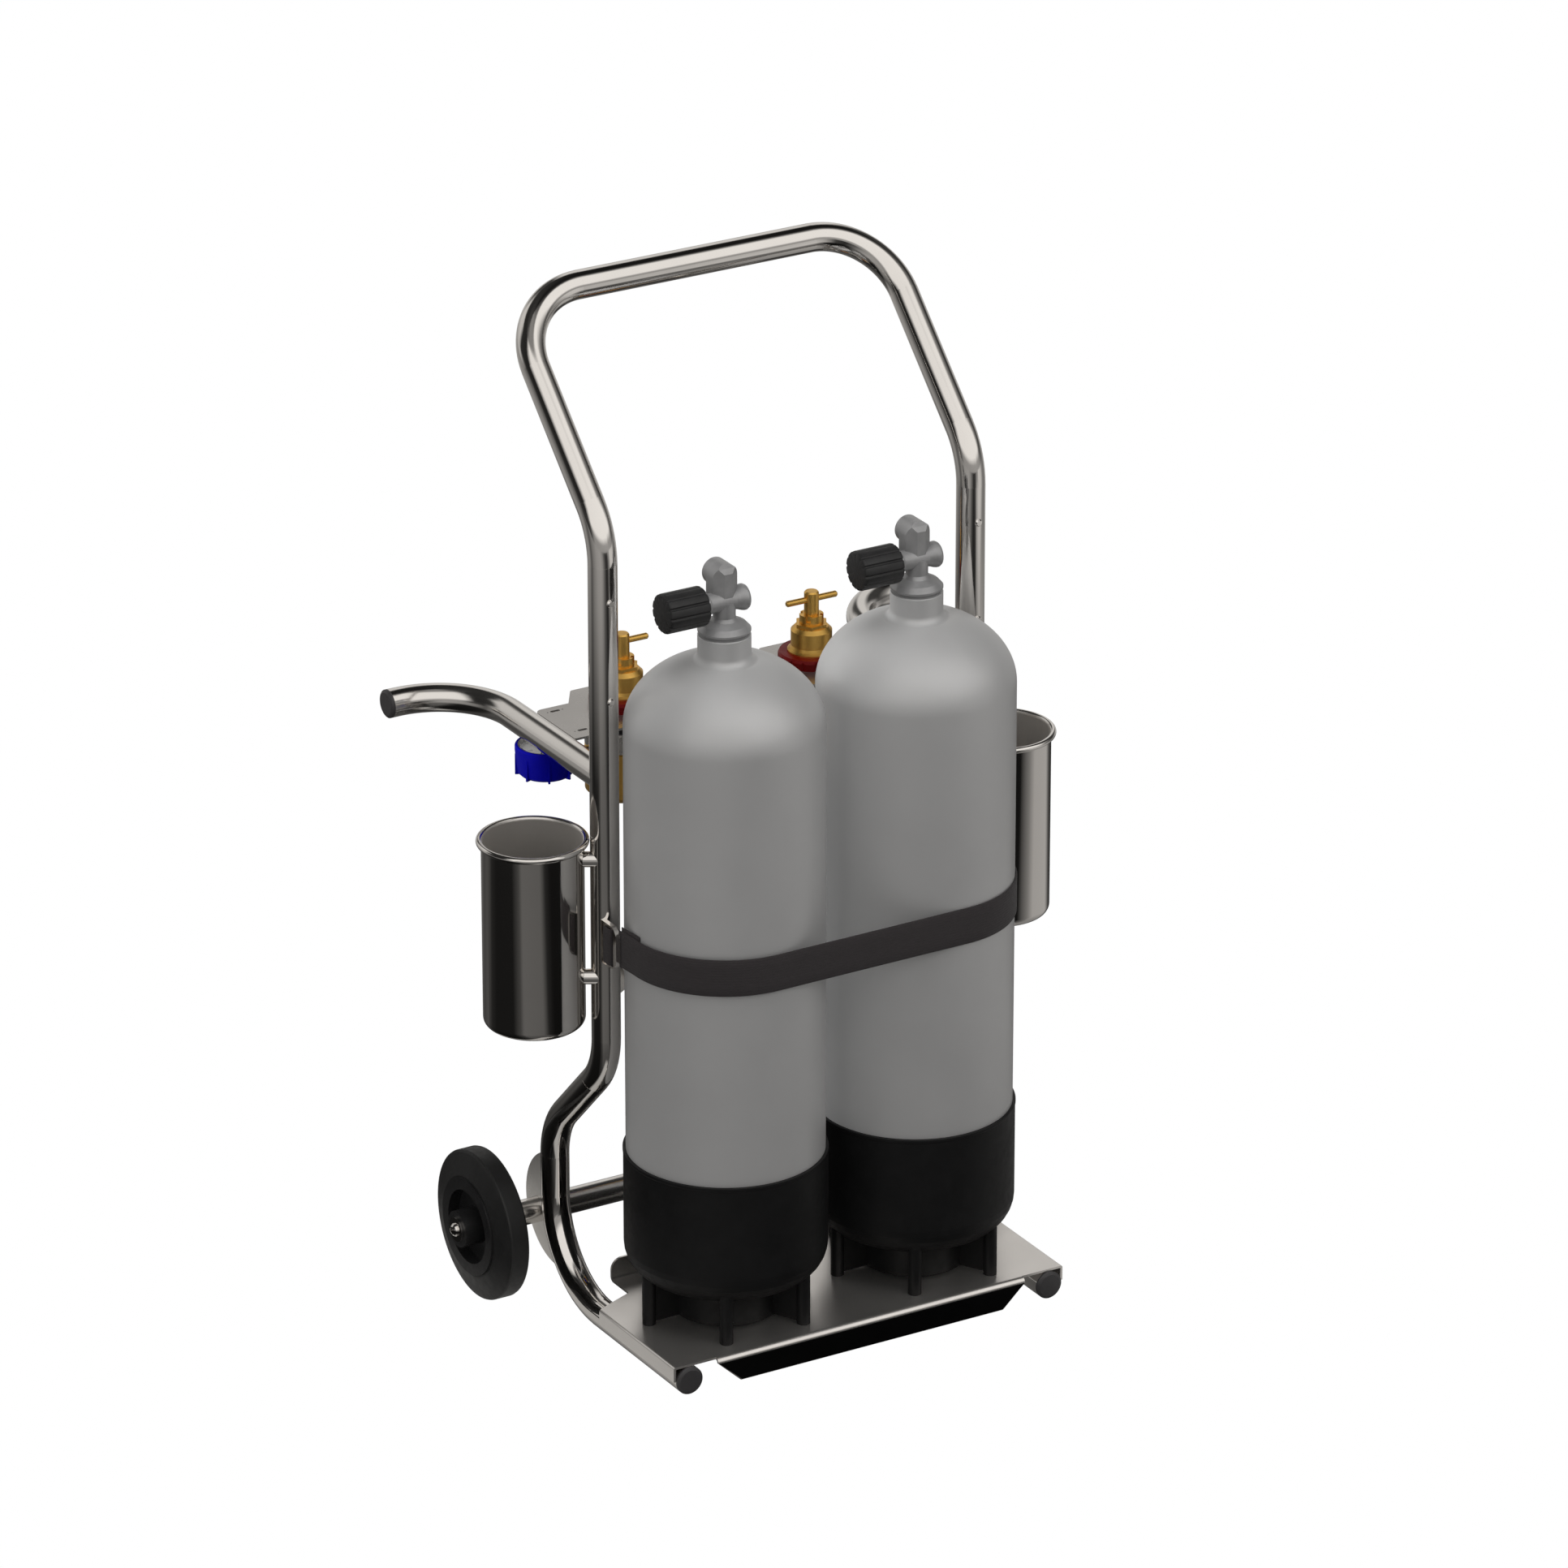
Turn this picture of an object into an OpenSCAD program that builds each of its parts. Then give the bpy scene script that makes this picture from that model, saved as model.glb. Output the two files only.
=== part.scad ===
// Gas cylinder trolley: a two-cylinder hand trolley of bent stainless tube with a sheet
// footplate, two wheels, two cups, two hose arms and a regulator shelf, loaded with two
// valved cylinders and their pressure regulators.
// Millimetres, +Z up, +Y to the rear, origin on the floor at the middle of the footprint.

/* [Gas cylinders] */
// Outside diameter of each cylinder
cylinder_d = 204; // [190:1:220]
// Gap between the two cylinders
cylinder_gap = 20; // [14:1:40]
// Height of a cylinder from its round base to the top of its neck
cylinder_h = 699; // [620:1:740]
// Thickness of the cylinder wall
cylinder_wall = 4; // [3:0.5:6]
// Height of the domed shoulder
shoulder_h = 76; // [60:1:95]
// Height of the domed base inside the boot
base_dome_h = 44; // [36:1:60]
// Outside diameter of the neck
neck_d = 54; // [48:1:60]
// Height of the neck above the crown of the shoulder
neck_h = 23; // [16:1:32]
// Radius of the hollow between the shoulder and the neck
neck_fillet = 9; // [5:0.5:12]

/* [Cylinder boots] */
// Height of the boot's rim above the footplate
boot_h = 180; // [140:1:220]
// Wall thickness of the boot
boot_wall = 2.5; // [2:0.1:3]
// Height of the boot's floor above the footplate
boot_lift = 41; // [32:1:50]
// Radius of the boot's lower edge
boot_round = 34; // [26:1:40]
// Number of feet under each boot
boot_feet = 6; // [5:1:8]
// Diameter of a foot
foot_d = 14; // [10:1:18]
// Distance from the boot's outside to the middle of a foot
foot_inset = 13.7; // [11:0.1:22]
// Outside diameter of the inner supporting ring
boot_ring_d = 114; // [90:1:130]
// Thickness of the ring and of the webs between it and the feet
boot_web = 4; // [3:0.5:6]

/* [Cylinder valves] */
// Height of the cylindrical part of the valve flange
flange_h = 6; // [5:0.5:12]
// Diameter of the valve stem between flange and barrel
valve_stem_d = 23; // [18:1:26]
// Height of the barrel axis above the neck
barrel_z = 35; // [31:1:42]
// Diameter of the barrel at its ends
barrel_d = 27; // [24:1:32]
// Length of the barrel
barrel_len = 48; // [40:1:60]
// Width of the valve body
valve_w = 28; // [25:1:32]
// Height of the valve body's domed top above the neck
valve_h = 75; // [70:1:90]
// Depth of the valve body in front of its axis
valve_front = 9; // [7:0.5:10]
// Depth of the valve body behind its axis
valve_rear = 12; // [10:0.5:16]
// Diameter of the outlet boss
outlet_d = 28; // [24:1:32]
// Distance from the valve axis to the face of the outlet
outlet_reach = 20; // [17:1:28]
// Diameter of the valve knob
knob_d = 41; // [34:1:46]
// Length of the valve knob
knob_len = 46; // [34:1:56]
// Number of notches round the knob
knob_flutes = 12; // [8:1:18]
// Width of a notch in the knob
flute_w = 3; // [2:0.2:5]
// Diameter of the knob's spindle
spindle_d = 8; // [6:0.5:10]

/* [Frame tube] */
// Outside diameter of the frame tube
tube_d = 30; // [26:0.5:34]
// Wall thickness of the frame tube
tube_wall = 1.5; // [1:0.1:3]
// Gap between a cylinder and the upright beside it
tube_clear = 3.8; // [3.6:0.1:8]
// Distance the bow stands behind the upright
bow_back = 110; // [96:1:130]
// Bend radius between the foot and the bow
foot_bend_r = 98; // [85:1:104]
// Bend radius of the other frame bends
frame_bend_r = 80; // [60:1:90]
// Height at which the bow turns forward
jog_z = 189.5; // [182:0.5:205]
// Height at which the uprights lean back
knee_z = 881.5; // [840:0.5:900]
// Backward lean of the handle from upright
lean_angle = 45; // [35:1:55]
// Height of the handle's top over the floor
handle_h = 1084.5; // [1050:0.5:1110]
// Length of foot tube in front of the cylinder axes
foot_front = 101; // [97:1:104]
// Thickness of the head of a tube cap
cap_head = 4; // [3:0.5:6]
// Depth of a tube cap's plug
cap_plug = 14; // [10:1:20]

/* [Hose arms] */
// Height of the hose arms
arm_z = 618.6; // [610:0.2:626]
// Distance the arms reach behind the uprights
arm_reach = 278; // [265:1:300]
// Bend radius of the arms
arm_bend_r = 86; // [70:1:95]
// Straight length beyond the arm's bend
arm_tail = 9; // [6:1:20]

/* [Wheels and axle] */
// Wheel diameter
wheel_d = 160; // [150:1:172]
// Width of the tread
tread_w = 22; // [16:1:30]
// Width of the sloping shoulder on each side of the tread
tyre_shoulder = 8.5; // [6:0.5:12]
// Outside diameter of the wheel centre
rim_d = 104; // [92:1:116]
// Diameter of the recess in the wheel centre
recess_d = 79; // [70:1:84]
// Depth of the recess
recess_depth = 13; // [9:0.5:14]
// Hub diameter
hub_d = 39; // [32:1:46]
// Distance the hub stands out beyond the wheel centre
hub_out = 11; // [7:0.5:16]
// Gap between the frame tube and the wheel
wheel_gap = 33; // [26:1:45]
// Diameter of the axle tube
axle_d = 27; // [25:0.5:30]
// Wall thickness of the axle tube
axle_wall = 2.5; // [2:0.5:4]
// Distance from the bow's axis to the axle
axle_back = 32.5; // [30:0.5:34]
// Diameter of the stub on which a wheel turns
stub_d = 18; // [14:0.5:21]
// Diameter of the washer over the hub
washer_d = 26; // [23:0.5:30]
// Thickness of the washer
washer_t = 2; // [1.5:0.5:3]
// Thread diameter of the wheel bolt
bolt_d = 8; // [6:1:10]
// Diameter of the wheel bolt's head
bolt_head_d = 14; // [12:0.5:17]
// Height of the wheel bolt's head
bolt_head_h = 4.4; // [3:0.1:6]
// Diameter of the disc from which a gusset is cut
gusset_d = 124; // [116:1:128]
// Gusset thickness
gusset_t = 5; // [3:0.5:8]

/* [Footplate] */
// Sheet thickness of the footplate
plate_t = 2.5; // [2:0.1:4]
// Depth of the wide part of the footplate behind the cylinder axes
plate_rear = 52; // [44:1:60]
// Depth of the narrow tongue behind the cylinder axes
tongue_rear = 110; // [109:1:116]
// Width of the narrow tongue
tongue_w = 372; // [360:1:380]
// Width of the cut rear corners
corner_cut_w = 22; // [16:1:30]
// Depth of the cut rear corners
corner_cut_d = 10; // [6:1:14]
// Depth of the folded side flanges
flange_drop = 14; // [9:0.5:20]
// Depth of the folded front lip
lip_drop = 30; // [24:0.5:31]
// Width of the front lip
lip_w = 366; // [340:1:380]
// Distance by which the front lip's ends slope inward
lip_slope = 26; // [16:1:34]
// Radius of the corners at the lip's lower edge
lip_round = 3; // [1:0.5:6]
// Height of the upturned rear lip
rear_lip_h = 25; // [15:1:32]
// Thickness of the black panel on the front lip
label_t = 1; // [0.6:0.1:2]
// Height of the black panel
label_h = 23.5; // [20:0.5:24]
// Margin between the black panel and the lip's edge
label_edge = 1; // [0.5:0.1:1.4]

/* [Cups] */
// Outside diameter of a cup
cup_d = 104.4; // [98:0.2:110]
// Wall thickness of a cup
cup_wall = 1.5; // [1:0.1:2.5]
// Cup height
cup_h = 205; // [180:1:230]
// Height of a cup's underside over the floor
cup_z = 348.2; // [340:0.2:362]
// Diameter of the rolled rim
cup_rim_d = 6.6; // [5:0.2:9]
// Radius of a cup's lower edge
cup_round = 9; // [6:0.5:14]
// Direction of a cup from its upright, measured back from straight outward
cup_angle = 31; // [22:1:38]
// Diameter of the studs that hold a cup
stud_d = 16; // [12:0.5:18]
// Distance a stud's axis lies in front of the line from the upright to the cup
stud_front = 5.5; // [0:0.5:6]
// Height of the upper stud
stud_high_z = 531.4; // [517:0.2:535]
// Height of the lower stud
stud_low_z = 402; // [388:1:412]

/* [Strap] */
// Width of the webbing
strap_w = 40; // [34:1:46]
// Thickness of the webbing
strap_t = 2; // [1.5:0.1:2.5]
// Height of the middle of the strap
strap_z = 446; // [425:1:470]
// Length of the tail that is folded back inside
tail_len = 58; // [40:1:80]
// Distance the tail stands above the strap's edge
tail_rise = 4; // [2:0.5:4.5]
// Thickness of a strap lug
lug_t = 5; // [4:0.5:6]
// Distance a lug reaches in front of the upright's axis
lug_reach = 41; // [39:1:50]
// Width of the bar in front of the lug's slot
lug_bar = 6; // [5:0.5:8]
// Width of the slot in a lug
slot_w = 7; // [6:0.5:9]
// Steel left above and below a lug's slot
slot_margin = 3; // [2.5:0.5:8]

/* [Back rest] */
// Height of the middle of the back rest
rest_z = 389; // [375:1:395]
// Width of the back rest's band
rest_w = 58; // [40:1:66]
// Sheet thickness of the back rest
rest_t = 2.5; // [2:0.1:4]

/* [Regulator shelf] */
// Sheet thickness of the shelf
shelf_t = 2.5; // [2:0.1:4]
// Height of the shelf's top over the arms' axis
shelf_rise = 8.4; // [6:0.2:10]
// Front edge of the shelf behind the cylinder axes
shelf_front = 148; // [140:1:156]
// Rear edge of the shelf behind the cylinder axes
shelf_rear = 232; // [226:1:240]
// Distance the tabs reach behind the shelf's rear edge
tab_reach = 28; // [18:1:34]
// Width of a tab at its end
tab_w = 62; // [50:1:76]
// Distance by which a tab's sides slope inward
tab_flare = 18; // [8:1:24]
// Radius of the shelf's corners
shelf_round = 8; // [4:0.5:12]
// Distance of the shelf's slots from its ends
slot_inset = 18; // [12:1:26]
// Length of a slot in the shelf
shelf_slot_len = 11; // [8:0.5:16]
// Width of a slot in the shelf
shelf_slot_w = 4; // [3:0.2:6]
// Distance of the regulators behind the cylinder axes
regulator_y = 207; // [203:1:210]

/* [Regulators] */
// Diameter of the red panel ring
ring_d = 69.4; // [60:0.2:76]
// Height of the red panel ring
ring_h = 11; // [8:0.5:14]
// Diameter of the brass bonnet
bonnet_d = 42.8; // [40:0.2:46]
// Height of the bonnet above the panel ring
bonnet_h = 27; // [24:0.5:32]
// Diameter of the notched collar on the bonnet
collar_d = 25; // [23:0.5:30]
// Height of the collar
collar_h = 13; // [9:0.5:16]
// Diameter of the adjusting screw
screw_d = 15.4; // [13:0.2:17]
// Distance the adjusting screw stands out of the collar
screw_out = 25; // [20:0.5:32]
// Travel of the adjusting screw
screw_travel = 6; // [4:0.5:7]
// Diameter of the cross bar
bar_d = 6.5; // [5:0.5:8]
// Length of the cross bar
bar_len = 60; // [48:1:66]
// Diameter of the black seal ring under the shelf
seal_d = 86; // [82:0.5:92]
// Diameter of the regulator body
body_d = 78; // [72:0.5:80]
// Height of the steel part of the body
steel_h = 24; // [18:0.5:30]
// Height of the brass part of the body
brass_h = 56; // [44:0.5:66]
// Distance from the regulator's axis to the gauge's
gauge_reach = 90; // [84:0.5:98]
// Outside diameter of the gauge's rubber boot
gauge_d = 63; // [56:0.5:66]
// Height of the gauge's rubber boot
gauge_h = 32; // [26:0.5:36]
// Number of ribs round the gauge's boot
gauge_ribs = 8; // [6:1:12]

/* [Hidden] */
$fn = 48;

// Overrun of a cut, the gap at a weld, at a seat, and the running and press clearances
cut = 1;
weld_gap = 0.1;
seat_gap = 0.3;
run_fit = 0.05;
soft_gap = 0.3;

// Lap of a straight over a bend, and the bend's loss of radius
bend_lap = 1;
bend_draw = 0.05;

// Frame: places in plan, measured from the cylinder axes
tube_r = tube_d / 2;
cylinder_r = cylinder_d / 2;
axis_x = (cylinder_d + cylinder_gap) / 2;
tube_x = axis_x + cylinder_r + 0.4 * tube_wall;
upright_y = sqrt(pow(cylinder_r + tube_clear + tube_r, 2) - pow(tube_x - axis_x, 2));
bow_y = upright_y + bow_back;
jog_angle = 45;
jog_run = bow_back / sin(jog_angle);
jog_top_z = jog_z + bow_back / tan(jog_angle);
jog_trim = frame_bend_r * tan(jog_angle / 2);
lean_trim = frame_bend_r * tan(lean_angle / 2);
lean_run = (handle_h - tube_r - knee_z) / cos(lean_angle);
foot_z = tube_r;
knee_end = [upright_y + lean_trim * sin(lean_angle), knee_z + lean_trim * cos(lean_angle)];
corner_run = lean_run - lean_trim - frame_bend_r;
handle_y = upright_y + lean_run * sin(lean_angle);

// Frame screws on the front of the uprights
screw_heights = [705.5, 811.6];
frame_screw_d = 5;
frame_screw_head_d = 8;
frame_screw_head_h = 2.4;

// Axle, wheels and gussets
axle_y = bow_y + axle_back;
axle_z = wheel_d / 2;
wheel_w = tread_w + 2 * tyre_shoulder;
wheel_in_x = tube_x + tube_r + wheel_gap;
wheel_out_x = wheel_in_x + wheel_w;
hub_end_x = wheel_out_x + hub_out;
hub_inner = 4;
axle_end_x = wheel_in_x - hub_inner - seat_gap;
stub_plug = 24;
tread_round = 2.5;
shoulder_drop = 2;
gusset_back = 4;
gusset_rise = 13;

// Footplate
plate_z = tube_d + weld_gap;
plate_top = plate_z + plate_t;
plate_half = tube_x + tube_r + weld_gap + plate_t;
plate_bend = 5.5;
plate_front = foot_front;
tongue_half = tongue_w / 2;
lip_face_y = plate_front + plate_bend;

// Cylinder stack
boot_fit = 0.2;
boot_r = cylinder_r + boot_fit + boot_wall;
boot_floor = 3;
boot_z = plate_top + seat_gap;
shell_z = boot_z + boot_lift + boot_floor;
neck_z = shell_z + cylinder_h;
neck_r = neck_d / 2;
bore_r = 12.5;

// Cups
cup_r = cup_d / 2;
cup_rim_r = cup_r - cup_wall + cup_rim_d;
cup_offset = tube_r + seat_gap + cup_rim_r;
cup_x = tube_x + cup_offset * cos(cup_angle);
cup_y = upright_y + cup_offset * sin(cup_angle);

// Strap and lugs
tail_t = 1.4;
strap_in_right = cylinder_r + soft_gap;
strap_in_left = strap_in_right + tail_t + soft_gap;
lug_x = axis_x + strap_in_left + 2 * strap_t + 2 * soft_gap;
lug_front = upright_y - lug_reach;
lug_h = strap_w + 2 * (soft_gap + slot_margin);
lug_round = 12;
loop_round = strap_t + soft_gap;

// Back rest: the band clears the boots that slide up past it
rest_y = boot_r + 1.8;
rest_bend_x = axis_x + 52;
rest_end = [tube_x - 0.45 * tube_r, upright_y + tube_r - 0.1 * tube_r];

// Regulator shelf
shelf_z = arm_z + shelf_rise;
shelf_half = tube_x - weld_gap - sqrt(pow(tube_r, 2) - pow(shelf_rise - shelf_t, 2));
tab_round = 5;
panel_hole_d = 34;
shelf_slot_x = shelf_half - slot_inset;
shelf_slot_ys = [shelf_front + slot_inset - tube_wall, shelf_rear - 0.6 * slot_inset];
pin_hole_d = 0.4 * shelf_slot_w;

// Regulator stack, from the shelf's top face
seal_h = 16;
seal_lip = 4.5;
flare_d = 50;
flare_h = 3.5;
bonnet_chamfer = 4;
notch_w = 5;
button_d = 22;
button_t = 3;
chamber_h = screw_travel + button_t + 2 * seat_gap;
thread_neck_d = panel_hole_d - 1;
bonnet_top = ring_h + bonnet_h;
chamber_top = bonnet_top - 4;
screw_top = bonnet_top + collar_h + screw_out;
bar_z = screw_top - 9;
body_top = -shelf_t - seal_h;
gauge_wall = 3;
gauge_top = -(shelf_rise + tube_r + 3);
stem_d = 11;
gauge_axis = gauge_top - gauge_h + gauge_wall + 1.1 * stem_d / 2;
stem_nut = 20.5;
dial_drop = 5;
lens_t = 1.5;
pointer_t = 0.8;
port_d = 13;
port_boss_d = 22;
port_out = 7;

// The origin lies at the middle of the footprint
front_reach = lip_face_y + label_t;
rear_reach = upright_y + arm_reach + tube_r;
shift_y = (front_reach - rear_reach) / 2;

// Moves a piece from the cylinder axes' frame to the part's own
module placed() {
  translate([0, shift_y, 0]) children();
}

// Repeats a piece on both sides, mirrored
module both_sides() {
  for (side = [0, 1]) mirror([side, 0, 0]) children();
}

// Repeats a piece at both cylinder axes, not mirrored
module both_axes(y = 0, z = 0) {
  for (side = [-1, 1]) translate([side * axis_x, y, z]) children();
}

// A bent rod from steps of [straight length, bend radius, bend angle], along +X and turning
// in the XY plane: a positive angle turns left. A bend comes out a little slimmer than the
// straights, which lap over it
module bent(steps, d, i = 0) {
  if (i < len(steps)) {
    run = steps[i][0];
    r = steps[i][1];
    turn = steps[i][2];
    before = i > 0 ? bend_lap : 0;
    after = turn != 0 ? bend_lap : 0;
    if (run > 0) translate([-before, 0, 0]) rotate([0, 90, 0])
      cylinder(d = d, h = run + before + after);
    translate([run, 0, 0]) mirror([0, turn < 0 ? 1 : 0, 0]) {
      if (turn != 0)
        translate([0, r, 0]) rotate([0, 0, -90])
          rotate_extrude(angle = abs(turn)) translate([r, 0]) circle(d = d - 2 * bend_draw);
      translate([r * sin(abs(turn)), r * (1 - cos(turn)), 0]) rotate([0, 0, abs(turn)])
        mirror([0, turn < 0 ? 1 : 0, 0]) bent(steps, d, i + 1);
    }
  }
}

module bent_tube(steps, d, wall) {
  difference() {
    bent(steps, d);
    bent(steps, d - 2 * wall);
  }
}

// Turns a drawing in the XY plane into the upright plane: X becomes Y and Y becomes Z
module upright_plane() {
  rotate([90, 0, 90]) children();
}

// One side of the frame: foot, bow, jog, upright and the start of the lean
module side_frame() {
  color("silver") placed() difference() {
    translate([tube_x, -foot_front, foot_z]) upright_plane() bent_tube([
      [bow_y - foot_bend_r + foot_front, foot_bend_r, 90],
      [jog_z - jog_trim - foot_bend_r - foot_z, frame_bend_r, jog_angle],
      [jog_run - 2 * jog_trim, frame_bend_r, -jog_angle],
      [knee_z - lean_trim - jog_top_z - jog_trim, frame_bend_r, -lean_angle]
    ], tube_d, tube_wall);
    for (z = screw_heights) translate([tube_x, upright_y, z]) rotate([90, 0, 0])
      cylinder(d = frame_screw_d + 2 * run_fit, h = tube_r + cut);
  }
}

module side_frame_left() { mirror([1, 0, 0]) side_frame(); }

module side_frame_right() { side_frame(); }

// The leaning ends and the top bar are one tube, bent in the leaning plane
module push_handle() {
  color("silver") placed()
    translate([tube_x, knee_end[0], knee_end[1]])
      rotate([90 - lean_angle, 0, 0]) rotate([0, 0, 90]) bent_tube([
        [corner_run, frame_bend_r, 90],
        [2 * (tube_x - frame_bend_r), frame_bend_r, 90],
        [corner_run, 0, 0]
      ], tube_d, tube_wall);
}

module arm() {
  color("silver") placed() difference() {
    translate([tube_x, upright_y, arm_z]) rotate([0, 0, 90]) bent_tube([
      [arm_reach - arm_bend_r, arm_bend_r, -90],
      [arm_tail, 0, 0]
    ], tube_d, tube_wall);
    translate([tube_x, upright_y, arm_z - tube_d])
      cylinder(r = tube_r + weld_gap, h = 2 * tube_d);
  }
}

module arm_left() { mirror([1, 0, 0]) arm(); }

module arm_right() { arm(); }

// A pressed-in cap, its head towards +Z
module tube_cap() {
  rotate_extrude() polygon([
    [0, -cap_plug], [tube_r - tube_wall - run_fit - tube_wall / 2, -cap_plug],
    [tube_r - tube_wall - run_fit, -cap_plug + tube_wall],
    [tube_r - tube_wall - run_fit, 0], [tube_r, 0], [tube_r, cap_head / 2],
    [tube_r - cap_head / 4, 3 * cap_head / 4], [tube_r - 3 * cap_head / 4, cap_head], [0, cap_head]
  ]);
}

module foot_caps() {
  color([0.06, 0.06, 0.06]) placed() both_sides()
    translate([tube_x, -foot_front, foot_z]) rotate([90, 0, 0]) tube_cap();
}

module arm_caps() {
  color([0.06, 0.06, 0.06]) placed() both_sides()
    translate([tube_x + arm_bend_r + arm_tail, upright_y + arm_reach, arm_z])
      rotate([0, 90, 0]) tube_cap();
}

module axle_tube() {
  color("silver") placed() translate([-axle_end_x, axle_y, axle_z]) rotate([0, 90, 0])
    difference() {
      cylinder(d = axle_d, h = 2 * axle_end_x);
      translate([0, 0, -cut]) cylinder(d = axle_d - 2 * axle_wall, h = 2 * (axle_end_x + cut));
    }
}

// A turned stub is pressed into each end of the axle tube and carries a wheel
module axle_stubs() {
  color("silver") placed() both_sides() translate([axle_end_x, axle_y, axle_z])
    rotate([0, 90, 0]) difference() {
      union() {
        translate([0, 0, -stub_plug]) cylinder(r = axle_d / 2 - axle_wall - run_fit, h = stub_plug);
        cylinder(d = stub_d, h = hub_end_x - axle_end_x);
      }
      translate([0, 0, hub_end_x - axle_end_x - stub_plug])
        cylinder(r = bolt_d / 2 + run_fit, h = stub_plug + cut);
    }
}

// A crescent plate welded behind each bow takes the axle tube
module gussets() {
  color("silver") placed() both_sides() translate([tube_x - gusset_t / 2, 0, 0])
    upright_plane() linear_extrude(gusset_t) difference() {
      translate([bow_y - gusset_back, axle_z + gusset_rise]) circle(d = gusset_d);
      translate([bow_y - foot_bend_r, foot_bend_r + foot_z])
        circle(r = foot_bend_r + tube_r + weld_gap, $fn = 96);
      translate([bow_y - gusset_d, foot_bend_r + foot_z])
        square([gusset_d + tube_r + weld_gap, gusset_d]);
      translate([axle_y, axle_z]) circle(d = axle_d + 2 * weld_gap);
    }
}

// Outline of the footplate's flat sheet
module plate_outline() {
  polygon([
    [-plate_half, -plate_front], [plate_half, -plate_front], [plate_half, plate_rear],
    [plate_half - corner_cut_w, plate_rear + corner_cut_d],
    [tongue_half, plate_rear + 2 * corner_cut_d],
    [tongue_half, tongue_rear - plate_bend], [-tongue_half, tongue_rear - plate_bend],
    [-tongue_half, plate_rear + 2 * corner_cut_d],
    [-plate_half + corner_cut_w, plate_rear + corner_cut_d], [-plate_half, plate_rear]
  ]);
}

// A folded edge seen end on: a quarter bend and a straight drop, bending down from the origin
module fold(drop) {
  difference() {
    translate([0, -plate_bend]) circle(r = plate_bend);
    translate([0, -plate_bend]) circle(r = plate_bend - plate_t);
    translate([-2 * plate_bend, -3 * plate_bend]) square([2 * plate_bend, 4 * plate_bend]);
    translate([-cut, -3 * plate_bend]) square([3 * plate_bend, 2 * plate_bend]);
  }
  translate([plate_bend - plate_t, -drop]) square([plate_t, drop - plate_bend]);
}

module base_plate() {
  color("lightgrey") placed() {
    difference() {
      union() {
        translate([0, 0, plate_z]) linear_extrude(plate_t) plate_outline();
        both_sides() translate([plate_half - plate_t, -plate_front, plate_z - flange_drop])
          cube([plate_t, plate_front + plate_rear, flange_drop]);
      }
      // the folded side edges are rounded off
      both_sides() translate([plate_half - plate_t, -plate_front - cut, plate_top - plate_t])
        rotate([-90, 0, 0]) linear_extrude(plate_front + plate_rear + 2 * cut) difference() {
          translate([0, -plate_t - cut]) square([plate_t + cut, plate_t + cut]);
          circle(r = plate_t);
        }
    }
    // front lip, folded down, and rear lip, folded up
    translate([0, -plate_front, plate_top]) rotate([0, 0, 180]) lip(lip_w, lip_drop)
      sloped_tab(lip_w, lip_drop - plate_bend, lip_round, plate_bend);
    translate([0, tongue_rear - plate_bend, plate_z]) mirror([0, 0, 1]) lip(tongue_w, rear_lip_h)
      round_tab(tongue_w, rear_lip_h, rear_lip_h / 2);
  }
}

// A lip folded down from the origin towards +Y, within the outline of its child
module lip(w, drop) {
  intersection() {
    translate([-w / 2, 0, 0]) rotate([90, 0, 90]) linear_extrude(w) fold(drop);
    translate([0, plate_bend + cut, -drop]) rotate([90, 0, 0])
      linear_extrude(plate_bend + 2 * cut) children();
  }
}

// A rectangle standing on the X axis with its two lower corners rounded
module round_tab(w, h, corner_r) {
  intersection() {
    translate([-w / 2, 0]) square([w, h]);
    union() {
      translate([-w / 2, corner_r]) square([w, h]);
      translate([corner_r - w / 2, 0]) square([w - 2 * corner_r, h]);
      for (side = [-1, 1]) translate([side * (w / 2 - corner_r), corner_r]) circle(r = corner_r);
    }
  }
}

// A tab with sloping ends under a straight part, its two lower corners rounded
module sloped_tab(w, h, corner_r, straight) {
  hull() {
    translate([-w / 2, h]) square([w, straight]);
    for (side = [-1, 1]) translate([side * (w / 2 - lip_slope - corner_r / 2), corner_r])
      circle(r = corner_r);
  }
}

// Plain black panel with the lip's outline
module label_plate() {
  color([0.05, 0.05, 0.05]) placed()
    translate([0, -lip_face_y, plate_top - lip_drop + label_edge]) rotate([90, 0, 0])
      linear_extrude(label_t) sloped_tab(lip_w - 2 * label_edge, label_h, lip_round, 0.1 * label_t);
}

// An open cup: floor with a round edge, straight wall and a rolled rim
module cup() {
  r = cup_r;
  q = cup_round;
  color("silver") placed() translate([cup_x, cup_y, cup_z]) {
    rotate_extrude() difference() {
      union() {
        square([r - q, cup_wall]);
        translate([r - q, q]) circle(r = q);
        translate([0, q]) square([r, cup_h - cup_rim_d / 2 - q]);
      }
      translate([0, cup_wall]) square([r - q, cup_h]);
      translate([r - q, q]) circle(r = q - cup_wall);
      translate([0, q]) square([r - cup_wall, cup_h]);
      translate([-2 * q, -q]) square([2 * q, cup_h]);
    }
    translate([0, 0, cup_h - cup_rim_d / 2]) rotate_extrude()
      translate([r - cup_wall + cup_rim_d / 2, 0]) circle(d = cup_rim_d);
  }
}

module cup_left() { mirror([1, 0, 0]) cup(); }

module cup_right() { cup(); }

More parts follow.
